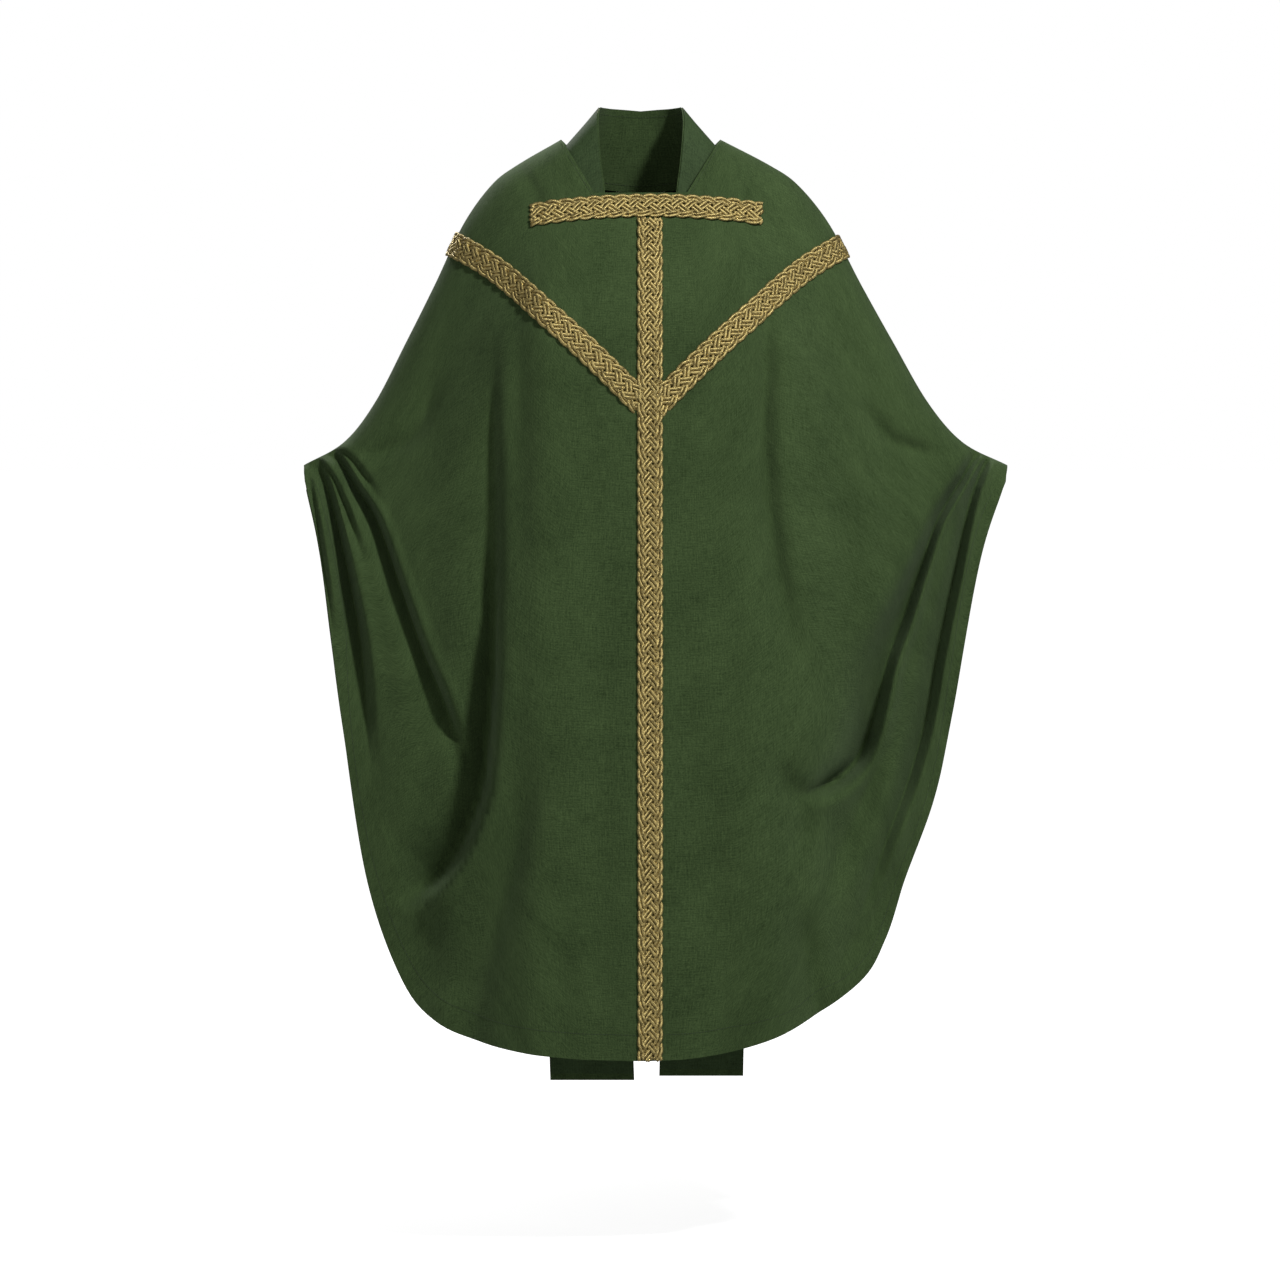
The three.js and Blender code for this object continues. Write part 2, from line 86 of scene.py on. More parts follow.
# Shares of the half span from which the roll and the swell are those of the arm
ARM_ROLL_FROM = 0.6
ARM_SWELL_FROM = 0.88

# Outlines, as shares of the run from the neck to the wrist, and of the reach and drop of the hem
SHOULDER_LINE = [
    (0, 0), (0.17, 0.078), (0.27, 0.139), (0.38, 0.26), (0.49, 0.444),
    (0.605, 0.626), (0.725, 0.809), (0.845, 0.93), (1, 1),
]
HEM_LINE = {
    "left": [
        (0.992, 0), (0.943, 0.144), (0.886, 0.421), (0.814, 0.699),
        (0.714, 0.872), (0.614, 0.942), (0.463, 0.976), (0.24, 0.995), (0, 1),
    ],
    "right": [
        (0.99, 0), (0.917, 0.144), (0.838, 0.421), (0.79, 0.56), (0.709, 0.699),
        (0.653, 0.803), (0.584, 0.872), (0.416, 0.942), (0.26, 0.979), (0.12, 0.995), (0, 1),
    ],
}
SIGN = {"left": -1, "right": 1}

# Folds: where each valley lies, how deep it is, and how far it reaches to its left and right, which
# may change along it. "crisp" is 1 where its right is a short wall, and "floor" flattens its bottom.
# "swell" says how the depth runs along it: from nothing at the first share to full at the second, and
# from full at the third to nothing at the fourth.
SWELL = (0, 0.3, 0.6, 1)
FRONT_FOLDS = [
    # Pleats by the left wrist
    dict(line=[(-0.492, -0.44), (-0.474, -0.462), (-0.459, -0.487), (-0.446, -0.531), (-0.433, -0.585),
               (-0.422, -0.64), (-0.411, -0.7), (-0.403, -0.77), (-0.398, -0.85), (-0.386, -0.93)],
         depth=0.05, left=(0.01, 0.03), right=(0.006, 0.012), crisp=1, swell=(0, 0.08, 0.45, 1)),
    dict(line=[(-0.47, -0.434), (-0.44, -0.456), (-0.414, -0.496), (-0.385, -0.543), (-0.355, -0.627),
               (-0.321, -0.724), (-0.288, -0.801), (-0.26, -0.889)],
         depth=0.038, left=(0.008, 0.018, 0.034), right=(0.006, 0.009), crisp=1, swell=(0, 0.06, 0.94, 1)),
    dict(line=[(-0.484, -0.466), (-0.474, -0.52), (-0.464, -0.58), (-0.452, -0.66), (-0.442, -0.74)],
         depth=0.018, left=0.008, right=0.006, crisp=1, swell=(0, 0.12, 0.5, 1)),
    dict(line=[(-0.48, -0.446), (-0.452, -0.474), (-0.433, -0.514), (-0.416, -0.56), (-0.398, -0.61)],
         depth=0.022, left=0.01, right=0.006, crisp=1, swell=(0, 0.12, 0.4, 1)),
    dict(line=[(-0.458, -0.436), (-0.426, -0.452), (-0.398, -0.486), (-0.376, -0.52)],
         depth=0.014, left=0.009, right=0.006, crisp=1, swell=(0, 0.12, 0.4, 1)),
    dict(line=[(-0.3, -0.33), (-0.318, -0.392), (-0.345, -0.43), (-0.39, -0.446), (-0.44, -0.448)],
         depth=0.01, left=0.016, right=0.014),
    # The deep fall beside the body, on the left, which sweeps out to the hem
    dict(line=[(-0.22, -0.402), (-0.217, -0.531), (-0.219, -0.627), (-0.22, -0.724),
               (-0.225, -0.804), (-0.235, -0.906), (-0.246, -0.945), (-0.264, -0.99), (-0.284, -1.022),
               (-0.306, -1.048), (-0.34, -1.068), (-0.4, -1.08)],
         depth=0.092, left=(0.008, 0.012, 0.03, 0.05, 0.06), right=(0.006, 0.013), floor=1.7, crisp=1,
         swell=(0.16, 0.6, 0.84, 1)),
    dict(line=[(-0.216, -0.25), (-0.221, -0.402), (-0.218, -0.531), (-0.22, -0.7)],
         depth=0.02, left=0.034, right=0.012, crisp=0.6, swell=(0, 0.4, 0.8, 1)),
    dict(line=[(-0.224, -0.3), (-0.224, -0.6), (-0.232, -0.88), (-0.3, -1.04)],
         depth=0.016, left=0.12, right=0.016, swell=(0, 0.4, 0.7, 1)),
    dict(line=[(-0.188, -0.12), (-0.186, -0.35), (-0.188, -0.6), (-0.205, -0.74)],
         depth=0.01, left=0.028, right=0.024),
    dict(line=[(-0.161, -0.83), (-0.176, -0.94), (-0.206, -1.06), (-0.234, -1.18), (-0.25, -1.27)],
         depth=0.02, left=0.036, right=0.02, swell=(0, 0.3, 0.6, 1.2)),
    dict(line=[(-0.33, -1.09), (-0.3, -1.16), (-0.29, -1.22)],
         depth=0.012, left=0.044, right=0.04, swell=(0, 0.4, 0.7, 1)),
    # Folds on the right of the body
    dict(line=[(0.15, -0.14), (0.163, -0.25), (0.158, -0.4), (0.164, -0.514), (0.176, -0.598),
               (0.188, -0.66), (0.206, -0.735), (0.226, -0.81)],
         depth=0.018, left=0.03, right=0.016, crisp=0.4, swell=(0, 0.3, 0.7, 1.0)),
    dict(line=[(0.09, -0.7), (0.084, -0.9), (0.108, -1.29)],
         depth=0.012, left=0.034, right=0.024, swell=(0, 0.5, 1.5, 2)),
    dict(line=[(0.2, -1.06), (0.215, -1.12), (0.235, -1.24)],
         depth=0.02, left=0.03, right=0.022, swell=(0, 0.4, 1.5, 2)),
    # The pocket below the right wrist and the pleats that feed it
    dict(line=[(0.472, -0.436), (0.456, -0.458), (0.438, -0.488), (0.405, -0.545), (0.378, -0.622),
               (0.357, -0.682), (0.336, -0.738)],
         depth=0.05, left=(0.006, 0.016), right=0.005, crisp=1, swell=(0, 0.04, 0.6, 1)),
    dict(line=[(0.412, -0.532), (0.378, -0.622), (0.357, -0.682), (0.336, -0.738), (0.322, -0.794),
               (0.306, -0.85), (0.289, -0.884), (0.264, -0.906), (0.236, -0.918), (0.19, -0.93)],
         depth=0.094, left=(0.008, 0.018, 0.038, 0.03, 0.012), right=(0.006, 0.008, 0.014), floor=1.9,
         crisp=1, swell=(0, 0.42, 0.74, 1)),
    dict(line=[(0.316, -0.82), (0.306, -0.85), (0.289, -0.884), (0.264, -0.906), (0.236, -0.918),
               (0.206, -0.926)],
         depth=0.034, left=0.007, right=0.005, crisp=0.5),
    dict(line=[(0.345, -0.79), (0.318, -0.88), (0.29, -0.954), (0.258, -1.03), (0.225, -1.09)],
         depth=0.03, left=0.04, right=0.02, swell=(0, 0.4, 0.6, 1)),
    dict(line=[(0.15, -0.86), (0.196, -0.912), (0.214, -0.96), (0.204, -1.04)],
         depth=0.018, left=0.024, right=0.018, swell=(0, 0.4, 0.6, 1)),
    dict(line=[(0.488, -0.44), (0.472, -0.466), (0.456, -0.505), (0.442, -0.561), (0.43, -0.62),
               (0.417, -0.679), (0.405, -0.738), (0.39, -0.822), (0.366, -0.906), (0.334, -0.99),
               (0.304, -1.074), (0.262, -1.17)],
         depth=0.05, left=(0.006, 0.022, 0.04), right=(0.005, 0.01), crisp=1, swell=(0, 0.04, 0.5, 1)),
    dict(line=[(0.29, -0.372), (0.315, -0.402), (0.338, -0.429), (0.379, -0.444), (0.44, -0.45)],
         depth=0.011, left=0.016, right=0.014),
    dict(line=[(0.372, -0.96), (0.318, -1.09), (0.24, -1.19)],
         depth=0.02, left=0.03, right=0.026, swell=(0, 0.4, 0.7, 1)),
    # The edge of the stole showing through at the neck
    dict(line=[(0.166, -0.014), (0.152, -0.042), (0.128, -0.088), (0.116, -0.125)],
         depth=0.007, left=0.004, right=0.014, swell=(0, 0.1, 0.6, 1)),
    dict(line=[(-0.196, -0.02), (-0.18, -0.044), (-0.156, -0.084), (-0.146, -0.115)],
         depth=0.006, left=0.016, right=0.005, swell=(0, 0.1, 0.6, 1)),
]
BACK_FOLDS = [
    # Pleats that fall from both wrists, and the long folds beside the body
    dict(line=[(-0.486, -0.446), (-0.456, -0.5), (-0.43, -0.57), (-0.4, -0.7), (-0.358, -0.85),
               (-0.296, -0.98)],
         depth=0.044, left=(0.006, 0.012), right=(0.01, 0.04), swell=(0, 0.08, 0.5, 1)),
    dict(line=[(-0.47, -0.438), (-0.428, -0.48), (-0.37, -0.56), (-0.312, -0.7), (-0.262, -0.83),
               (-0.19, -0.92)],
         depth=0.044, left=(0.006, 0.014), right=(0.01, 0.05), swell=(0, 0.08, 0.6, 1)),
    dict(line=[(-0.48, -0.462), (-0.462, -0.56), (-0.446, -0.68), (-0.43, -0.78)],
         depth=0.02, left=0.006, right=0.012, swell=(0, 0.1, 0.5, 1)),
    dict(line=[(-0.205, -0.28), (-0.196, -0.52), (-0.192, -0.76), (-0.205, -0.96), (-0.25, -1.1)],
         depth=0.034, left=0.05, right=0.014, swell=(0, 0.4, 0.7, 1)),
    dict(line=[(0.5, -0.448), (0.47, -0.51), (0.44, -0.58), (0.404, -0.72), (0.356, -0.86),
               (0.294, -1.000)],
         depth=0.044, left=(0.01, 0.04), right=(0.006, 0.012), crisp=1, swell=(0, 0.08, 0.5, 1)),
    dict(line=[(0.484, -0.44), (0.434, -0.49), (0.376, -0.58), (0.316, -0.71), (0.266, -0.82),
               (0.19, -0.9)],
         depth=0.046, left=(0.01, 0.046), right=(0.006, 0.014), crisp=1, swell=(0, 0.08, 0.6, 1)),
    dict(line=[(0.494, -0.466), (0.474, -0.57), (0.456, -0.69), (0.44, -0.79)],
         depth=0.02, left=0.012, right=0.006, crisp=1, swell=(0, 0.1, 0.5, 1)),
    dict(line=[(0.196, -0.24), (0.186, -0.52), (0.184, -0.78), (0.204, -0.98), (0.262, -1.14)],
         depth=0.034, left=0.014, right=0.05, swell=(0, 0.4, 0.7, 1)),
    dict(line=[(-0.09, -0.24), (-0.092, -0.7), (-0.11, -1.29)],
         depth=0.016, left=0.034, right=0.024, swell=(0, 0.5, 1.5, 2)),
    dict(line=[(0.086, -0.3), (0.09, -0.76), (0.112, -1.29)],
         depth=0.016, left=0.024, right=0.034, swell=(0, 0.5, 1.5, 2)),
    dict(line=[(-0.33, -0.96), (-0.322, -1.08), (-0.33, -1.16)],
         depth=0.012, left=0.03, right=0.024, swell=(0, 0.4, 0.8, 1.2)),
    dict(line=[(0.3, -1.01), (0.304, -1.1), (0.316, -1.18)],
         depth=0.012, left=0.024, right=0.03, swell=(0, 0.4, 0.8, 1.2)),
]
# Each panel: the way it faces, its roll, how far it swells and flares, and the drop of its neckline
PANELS = {
    "front": dict(side=-1, roll=0.074, swell=0.070, flare=0.062, neck=0.081, folds=FRONT_FOLDS),
    "back": dict(side=1, roll=0.100, swell=0.045, flare=0.055, neck=0.050, folds=BACK_FOLDS),
}

# How finely the cloth is divided, on each side of the centre line and from top to hem
NECK_FLAT_CELLS = 8
NECK_SLOPE_CELLS = 10
SHOULDER_CELLS = 92
NECK_CELLS = NECK_FLAT_CELLS + NECK_SLOPE_CELLS
MIDDLE = NECK_CELLS + SHOULDER_CELLS
ROWS = 204
ROLL_ROWS = 0.13

# The section of a fold: a slope with a crease on the left, and a wall with a lip on the right
SLOPE_FLOOR = 1.4
CREASE_SHARE = 0.3
CREASE_REACH = 0.010
WALL = 1.6
WALL_CURVE = 1.5
LIP = 0.10
LIP_PLACE = 2
FOLD_BOX = 4
FOLD_BOX_MARGIN = 0.02
# The reach within which spans of a line count as equally near, and where its ends fade
BEND_REACH = 0.024
END_FADE = (0.05, 0.86)
# A fold takes at most this share of the room behind the cloth
FOLD_LIMIT = 0.80

# How the grid is drawn together at creases
CROWD_REACH = 0.020
CROWDING = 2.6
DEEP_FOLD = 0.040
ROW_CROWDING = 0.6
CROWD_SPREAD = 16
CROWD_FROM_ROW = 0.1

# Waves of cloth that hangs freely
WIDE_RIPPLE = dict(turns=62, sway=1.3, sway_turns=3.1, sway_start=0.6, start=0.4)
NARROW_RIPPLE = dict(turns=118, sway=1.7, sway_turns=2.3, sway_start=2.1, start=2.0)
WIDE_RIPPLE_DEPTH = 0.0034
NARROW_RIPPLE_DEPTH = 0.0014

# ------ numbers and curves


def smooth(low, high, value):
    """A share that rises from 0 at low to 1 at high, level at both ends."""
    share = np.clip((value - low) / (high - low), 0, 1)
    return share * share * (3 - 2 * share)


def spline(points, count):
    """A smooth curve through some points, as count points evenly spaced along it."""
    knots = np.array(points, float)
    padded = np.vstack([2 * knots[0] - knots[1], knots, 2 * knots[-1] - knots[-2]])
    fine = []
    steps = np.linspace(0, 1, 24, endpoint=False)[:, None]
    for i in range(len(knots) - 1):
        a, b, c, d = padded[i:i + 4]
        tangent_in, tangent_out = (c - a) / 2, (d - b) / 2
        cubic = 2 * b - 2 * c + tangent_in + tangent_out
        square = -3 * b + 3 * c - 2 * tangent_in - tangent_out
        fine.append(((cubic * steps + square) * steps + tangent_in) * steps + b)
    fine.append(knots[-1:])
    return respaced(np.vstack(fine), count)


def unit(vectors):
    return vectors / np.maximum(np.linalg.norm(vectors, axis=-1, keepdims=True), 1e-12)


def lengths_along(points):
    return np.concatenate([[0], np.cumsum(np.linalg.norm(np.diff(points, axis=0), axis=1))])


def sampled(values, lengths, wanted):
    """Rows of values that lie at some lengths along a line, read at the wanted lengths."""
    return np.stack([np.interp(wanted, lengths, column) for column in values.T], -1)


def respaced(points, count):
    lengths = lengths_along(points)
    return sampled(points, lengths, np.linspace(0, lengths[-1], count))


def from_line(places, line):
    """The distance of each place from a line, on which side it lies, and how far along, twice.

    The first share is a mean over the spans that are about as near, so it never jumps at a bend.
    The second is that of the nearest point, which is right at the ends.
    """
    steps = np.diff(line, axis=0)
    gap = places[:, None] - line[None, :-1]
    share = np.clip((gap * steps).sum(2) / (steps ** 2).sum(1), 0, 1)
    gap = gap - share[..., None] * steps
    squared = (gap ** 2).sum(2)
    nearest = np.argmin(squared, axis=1)[:, None]
    least = np.take_along_axis(squared, nearest, 1)
    weight = np.exp(-(squared - least) / BEND_REACH ** 2)
    run = (np.arange(len(steps)) + share) / len(steps)
    along = (weight * run).sum(1) / weight.sum(1)
    side = np.sign(steps[:, 0] * gap[..., 1] - steps[:, 1] * gap[..., 0])
    picked = [np.take_along_axis(values, nearest, 1)[:, 0] for values in (side, run)]
    return np.sqrt(least[:, 0]), picked[0], along, picked[1]


def swelling(fold, along, at_ends):
    """How much of a fold's depth there is along it."""
    start, full, still, end = fold.get("swell", SWELL)
    fade = smooth(start, full, along) * (1 - smooth(still, end, along))
    fade *= smooth(0, END_FADE[0], at_ends)
    if end <= 1:
        fade *= 1 - smooth(END_FADE[1], 1, at_ends)
    return fade


# ------ the hang of the cloth


def neck_point(side):
    return np.array([NECK_SHIFT + SIGN[side] * NECK_HALF, NECK_LEVEL])


def shoulder_line(side, count):
    start = neck_point(side)
    run = np.array([SIGN[side] * HALF_SPAN[side], -WRIST_DROP]) - start
    return spline([start + np.array(share) * run for share in SHOULDER_LINE], count)


def hem_line(side, count):
    top = WRIST_DROP + CUFF_EDGE
    reach = SIGN[side] * HALF_SPAN[side]
    points = [(reach * across, -top - down * (LENGTH - top)) for across, down in HEM_LINE[side]]
    return spline(points[::-1], count)


RIDGE_POINTS = 80
RIDGE = np.vstack([shoulder_line("left", RIDGE_POINTS)[::-1], shoulder_line("right", RIDGE_POINTS)])


def near_line(places, line, reach):
    """Which places lie in the box round a line, this much larger than it on every side."""
    return ((places > line.min(0) - reach) & (places < line.max(0) + reach)).all(1)


def reach_along(reach, along):
    """A reach that may change along a fold: its values lie at even shares of the length."""
    values = np.atleast_1d(reach)
    count = max(len(values), 2)
    return np.interp(along, np.linspace(0, 1, count), np.resize(values, count))


def fold_depth(places, folds):
    """How deep the folds are: each is a slope on the left of its line and another on its right.

    A crisp fold has a short wall on its right, with a lip that stands a little proud of the cloth.
    """
    depth = np.zeros(len(places))
    for fold in folds:
        line = spline(fold["line"], 40)
        widest = max(np.max(fold["left"]), np.max(fold["right"]))
        near = near_line(places, line, FOLD_BOX * widest + FOLD_BOX_MARGIN)
        distance, side, along, at_ends = from_line(places[near], line)
        fade = swelling(fold, along, at_ends)
        left, right = [reach_along(fold[key], along) for key in ("left", "right")]
        crisp = fold.get("crisp", 0)
        slope = np.exp(-((distance / left) ** fold.get("floor", SLOPE_FLOOR)))
        crease = np.exp(-distance / np.minimum(left, CREASE_REACH))
        on_left = (1 - CREASE_SHARE * crisp) * slope + CREASE_SHARE * crisp * crease
        wall = np.clip(1 - distance / (WALL * right), 0, 1) ** WALL_CURVE
        lip = LIP * np.exp(-((distance / right - LIP_PLACE) ** 2))
        on_right = (1 - crisp) * np.exp(-((distance / right) ** 2)) + crisp * (wall - lip)
        depth[near] += fold["depth"] * fade * np.where(side > 0, on_right, on_left)
    return depth


def ripple(x, z, turns, sway, sway_turns, sway_start, start):
    return np.sin(x * turns + sway * np.sin(z * sway_turns + sway_start) + start)


def ripples(places):
    """The slow unevenness of cloth that hangs freely: long upright waves, fuller towards the hem."""
    x, z = places[:, 0], places[:, 1]
    drop = smooth(0.15, 1.1, -z)
    lean = x * (1 + 0.16 * z)
    slow = np.sin(lean * 21 + z * 5.3)
    wide = WIDE_RIPPLE_DEPTH * ripple(lean, z, **WIDE_RIPPLE)
    narrow = NARROW_RIPPLE_DEPTH * ripple(lean, z, **NARROW_RIPPLE)
    return (wide * (0.6 + 0.4 * slow) + narrow) * drop


def stand_off(places, panel):
    """How far a panel stands from the plane of the shoulders, at places seen from the front."""
    x, z = places[:, 0], places[:, 1]
    from_ridge = from_line(places, RIDGE)[0]
    over_arm = smooth(NECK_HALF, HALF_SPAN["left"] * ARM_ROLL_FROM, np.abs(x - NECK_SHIFT))
    roll = panel["roll"] + (ARM_ROLL - panel["roll"]) * over_arm
    past_body = smooth(BODY_HALF, HALF_SPAN["left"] * ARM_SWELL_FROM, np.abs(x))
    width = 1 - (1 - ARM_SHARE) * past_body
    swell = panel["swell"] * smooth(0, SWELL_DROP, -z) + panel["flare"] * -z / LENGTH
    body = width * swell * smooth(0, SWELL_RUN, from_ridge)
    share = np.clip(from_ridge / roll, 0, 1)
    open_cloth = roll * np.sqrt(1 - (1 - share) ** 2) + body
    fold = fold_depth(places, panel["folds"]) + ripples(places)
    limit = np.maximum(FOLD_LIMIT * open_cloth, 1e-6)
    return open_cloth - limit * np.tanh(fold / limit)


def top_line(side, panel):
    corner = np.array([NECK_SHIFT + SIGN[side] * NECK_CORNER, -panel["neck"]])
    middle = np.array([0, -panel["neck"]])
    flat = np.linspace(middle, corner, NECK_FLAT_CELLS, endpoint=False)
    slope = np.linspace(corner, neck_point(side), NECK_SLOPE_CELLS, endpoint=False)
    return np.vstack([flat, slope, shoulder_line(side, SHOULDER_CELLS + 1)])


def row_shares():
    """Rows lie close together at the top, where the cloth rolls over the shoulder."""
    steps = np.linspace(0, 1, ROWS + 1)
    top = ROLL_ROWS / (2 - ROLL_ROWS)
    rolled = top * (steps / ROLL_ROWS) ** 2
    straight = top + (steps - ROLL_ROWS) * 2 * top / ROLL_ROWS
    return np.where(steps < ROLL_ROWS, rolled, straight)


def panel_places(panel):
    """Where the points of a panel lie in X and Z, by column from wrist to wrist and row from the top."""
    sides = []
    for side in ("left", "right"):
        tops = top_line(side, panel)
        feet = hem_line(side, MIDDLE + 1)
        shares = row_shares()[None, :, None]
        sides.append(tops[:, None, :] * (1 - shares) + feet[:, None, :] * shares)
    return np.concatenate([sides[0][:0:-1], sides[1]])


def creased(places, folds):
    """How near each place is to a crease, from 0 to 1."""
    nearest = np.zeros(len(places))
    for fold in folds:
        line = spline(fold["line"], 24)
        near = near_line(places, line, 3 * CROWD_REACH)
        distance, _, along, at_ends = from_line(places[near], line)
        fade = swelling(fold, along, at_ends)
        deep = min(fold["depth"] / DEEP_FOLD, 1)
        nearest[near] = np.maximum(nearest[near], deep * fade * np.exp(-((distance / CROWD_REACH) ** 2)))
    return nearest


def crowded(places, nearness):
    """The lines across a grid drawn together where the cloth is creased."""
    count = len(places)
    weight = 1 + CROWDING * (nearness[:-1] + nearness[1:]) / 2
    total = np.concatenate([np.zeros((1, places.shape[1])), np.cumsum(weight, axis=0)])
    moved = np.empty_like(places)
    index = np.arange(count)
    for j in range(places.shape[1]):
        wanted = np.interp(np.linspace(0, total[-1, j], count), total[:, j], index)
        for k in (0, 1):
            moved[:, j, k] = np.interp(wanted, index, places[:, j, k])
    return moved


def evened(field, axis, cells):
    """A field with its changes along one axis spread over a number of cells each way."""
    share = np.hanning(2 * cells + 3)[1:-1]
    share /= share.sum()
    padding = [(0, 0), (0, 0)]
    padding[axis] = (cells, cells)
    padded = np.pad(field, padding, mode="edge")
    return np.apply_along_axis(np.convolve, axis, padded, share, "valid")


def crowded_panel(places, folds):
    """A panel's grid drawn together at its creases: first its columns, then its rows."""
    columns, rows = places.shape[:2]
    below_neck = smooth(0, CROWD_FROM_ROW, np.arange(rows) / rows)

    def nearness_along(axis):
        nearness = creased(places.reshape(-1, 2), folds).reshape(columns, rows)
        return evened(nearness * below_neck, axis, CROWD_SPREAD)

    nearness = nearness_along(1)
    for half in (slice(0, MIDDLE + 1), slice(MIDDLE, None)):
        places[half] = crowded(places[half], nearness[half])
    return crowded(places.transpose(1, 0, 2), nearness_along(0).T * ROW_CROWDING).transpose(1, 0, 2)


def grid_normals(points, outward):
    """Normals of a grid of points, facing the side that outward says."""
    across, down = np.gradient(points, axis=(0, 1))
    return unit(np.cross(down, across) * outward)


def hung_panel(name):
    """A panel's grid: its places in X and Z, its points on the cloth and their normals.

    The top row of each shoulder lies in the plane of the seam, where the two panels meet.
    """
    panel = PANELS[name]
    places = crowded_panel(panel_places(panel), panel["folds"])
    columns, rows = places.shape[:2]
    off = stand_off(places.reshape(-1, 2), panel).reshape(columns, rows)
    shoulder = np.abs(np.arange(columns) - MIDDLE) >= NECK_CELLS
    off[shoulder, 0] = 0
    points = np.stack([places[..., 0], panel["side"] * off, places[..., 1]], 2)
    normals = grid_normals(points, -panel["side"])
    normals[shoulder, 0, 1] = 0
    normals[shoulder, 0] = unit(normals[shoulder, 0])
    return dict(places=places, points=points, normals=normals)


# ------ meshes


def mesh_object(name, points, quads, uvs, sharp=None):
    """A smooth mesh of quads. uvs gives a place on the cloth, in metres, for each point."""
    mesh = bpy.data.meshes.new(name)
    points = np.ascontiguousarray(points, np.float32)
    quads = np.ascontiguousarray(quads, np.int32)
    mesh.vertices.add(len(points))
    mesh.vertices.foreach_set("co", points.ravel())
    mesh.loops.add(quads.size)
    mesh.loops.foreach_set("vertex_index", quads.ravel())
    mesh.polygons.add(len(quads))
    mesh.polygons.foreach_set("loop_start", np.arange(0, quads.size, 4, dtype=np.int32))
    mesh.polygons.foreach_set("use_smooth", np.ones(len(quads), bool))
    mesh.update(calc_edges=True)
    layer = mesh.uv_layers.new(name="cloth")
    layer.data.foreach_set("uv", np.ascontiguousarray(uvs[quads.ravel()], np.float32).ravel())
    if sharp is not None:
        ends = np.zeros(len(mesh.edges) * 2, np.int32)
        mesh.edges.foreach_get("vertices", ends)
        ends = ends.reshape(-1, 2)
        crease = (sharp[ends[:, 0]] > 0) & (sharp[ends[:, 0]] == sharp[ends[:, 1]])
        mesh.edges.foreach_set("use_edge_sharp", crease)
    mesh.validate()
    thing = bpy.data.objects.new(name, mesh)
    bpy.context.scene.collection.objects.link(thing)
    return thing


def cloth_uvs(points):
    """Distances over the cloth, along its middle row and down each column."""
    columns, rows = points.shape[:2]
    down = np.linalg.norm(np.diff(points, axis=1), axis=2)
    fall = np.concatenate([np.zeros((columns, 1)), np.cumsum(down, axis=1)], 1)
    step = np.linalg.norm(np.diff(points, axis=0), axis=2).mean(1)
    run = np.concatenate([[0], np.cumsum(step)])
    return np.stack([np.repeat(run[:, None], rows, 1), fall], 2)


def shell(name, points, normals, inner, outer):
    """A closed sheet over a grid of points, between two distances along its normals."""
    columns, rows = points.shape[:2]
    count = columns * rows
    index = np.arange(count).reshape(columns, rows)
    cells = [index[:-1, :-1], index[:-1, 1:], index[1:, 1:], index[1:, :-1]]
    outside = np.stack(cells, -1).reshape(-1, 4)
    inside = outside[:, ::-1] + count
    rim = np.concatenate([index[:-1, 0], index[-1, :-1], index[:0:-1, -1], index[0, :0:-1]])
    after = np.roll(rim, -1)
    edge = np.stack([rim, after, after + count, rim + count], 1)
    both = np.concatenate([points + normals * outer, points + normals * inner]).reshape(-1, 3)
    quads = np.concatenate([outside, inside, edge])
    a, b, c = both[quads[:, 0]], both[quads[:, 1]], both[quads[:, 2]]
    if np.einsum("ij,ij->i", a, np.cross(b, c)).sum() < 0:
        quads = quads[:, ::-1]
    sharp = np.zeros(2 * count, np.int32)
    sharp[rim] = 1
    sharp[rim + count] = 2
    uv = cloth_uvs(points).reshape(-1, 2)
    return mesh_object(name, both, quads, np.concatenate([uv, uv]), sharp)


CORD_SIDES = 6


def tubes(name, paths, ups, width, height):
    """Flattened cords along paths, each closed at its ends. ups gives the direction of their height."""
    sides = CORD_SIDES
    all_points, all_quads, all_uvs = [], [], []
    base = 0
    turn = np.linspace(0, 2 * np.pi, sides, endpoint=False)
    for path, up in zip(paths, ups):
        along = unit(np.gradient(path, axis=0))
        across = unit(np.cross(along, up))
        lift = np.cross(across, along)
        ring = (path[:, None] + across[:, None] * (np.cos(turn) * width / 2)[None, :, None]
                + lift[:, None] * (np.sin(turn) * height / 2)[None, :, None])
        count = len(path)
        ids = base + np.arange(count * sides).reshape(count, sides)
        beside = np.roll(ids, -1, axis=1)
        all_quads.append(np.stack([ids[:-1], beside[:-1], beside[1:], ids[1:]], -1).reshape(-1, 4))
        for end, order in ((0, 1), (count - 1, -1)):
            cap = ids[end][::order]
            for k in range(1, sides - 2, 2):
                all_quads.append(np.array([[cap[0], cap[k], cap[k + 1], cap[k + 2]]])[:, ::-1])
        around = np.arange(sides) / sides
        uvs = np.broadcast_arrays(lengths_along(path)[:, None], around[None, :])
        all_uvs.append(np.stack(uvs, 2).reshape(-1, 2))
        all_points.append(ring.reshape(-1, 3))
        base += count * sides
    return mesh_object(name, np.vstack(all_points), np.vstack(all_quads), np.vstack(all_uvs))


STITCH_LENGTH = 0.0030
STITCH_PITCH = 0.0042
STITCH_WIDTH = 0.0007
STITCH_HEIGHT = STITCH_WIDTH * 0.8
STITCH_POINTS = 5
# The share of its width by which a thread's ends lie below the cloth
STITCH_DIP = 0.35


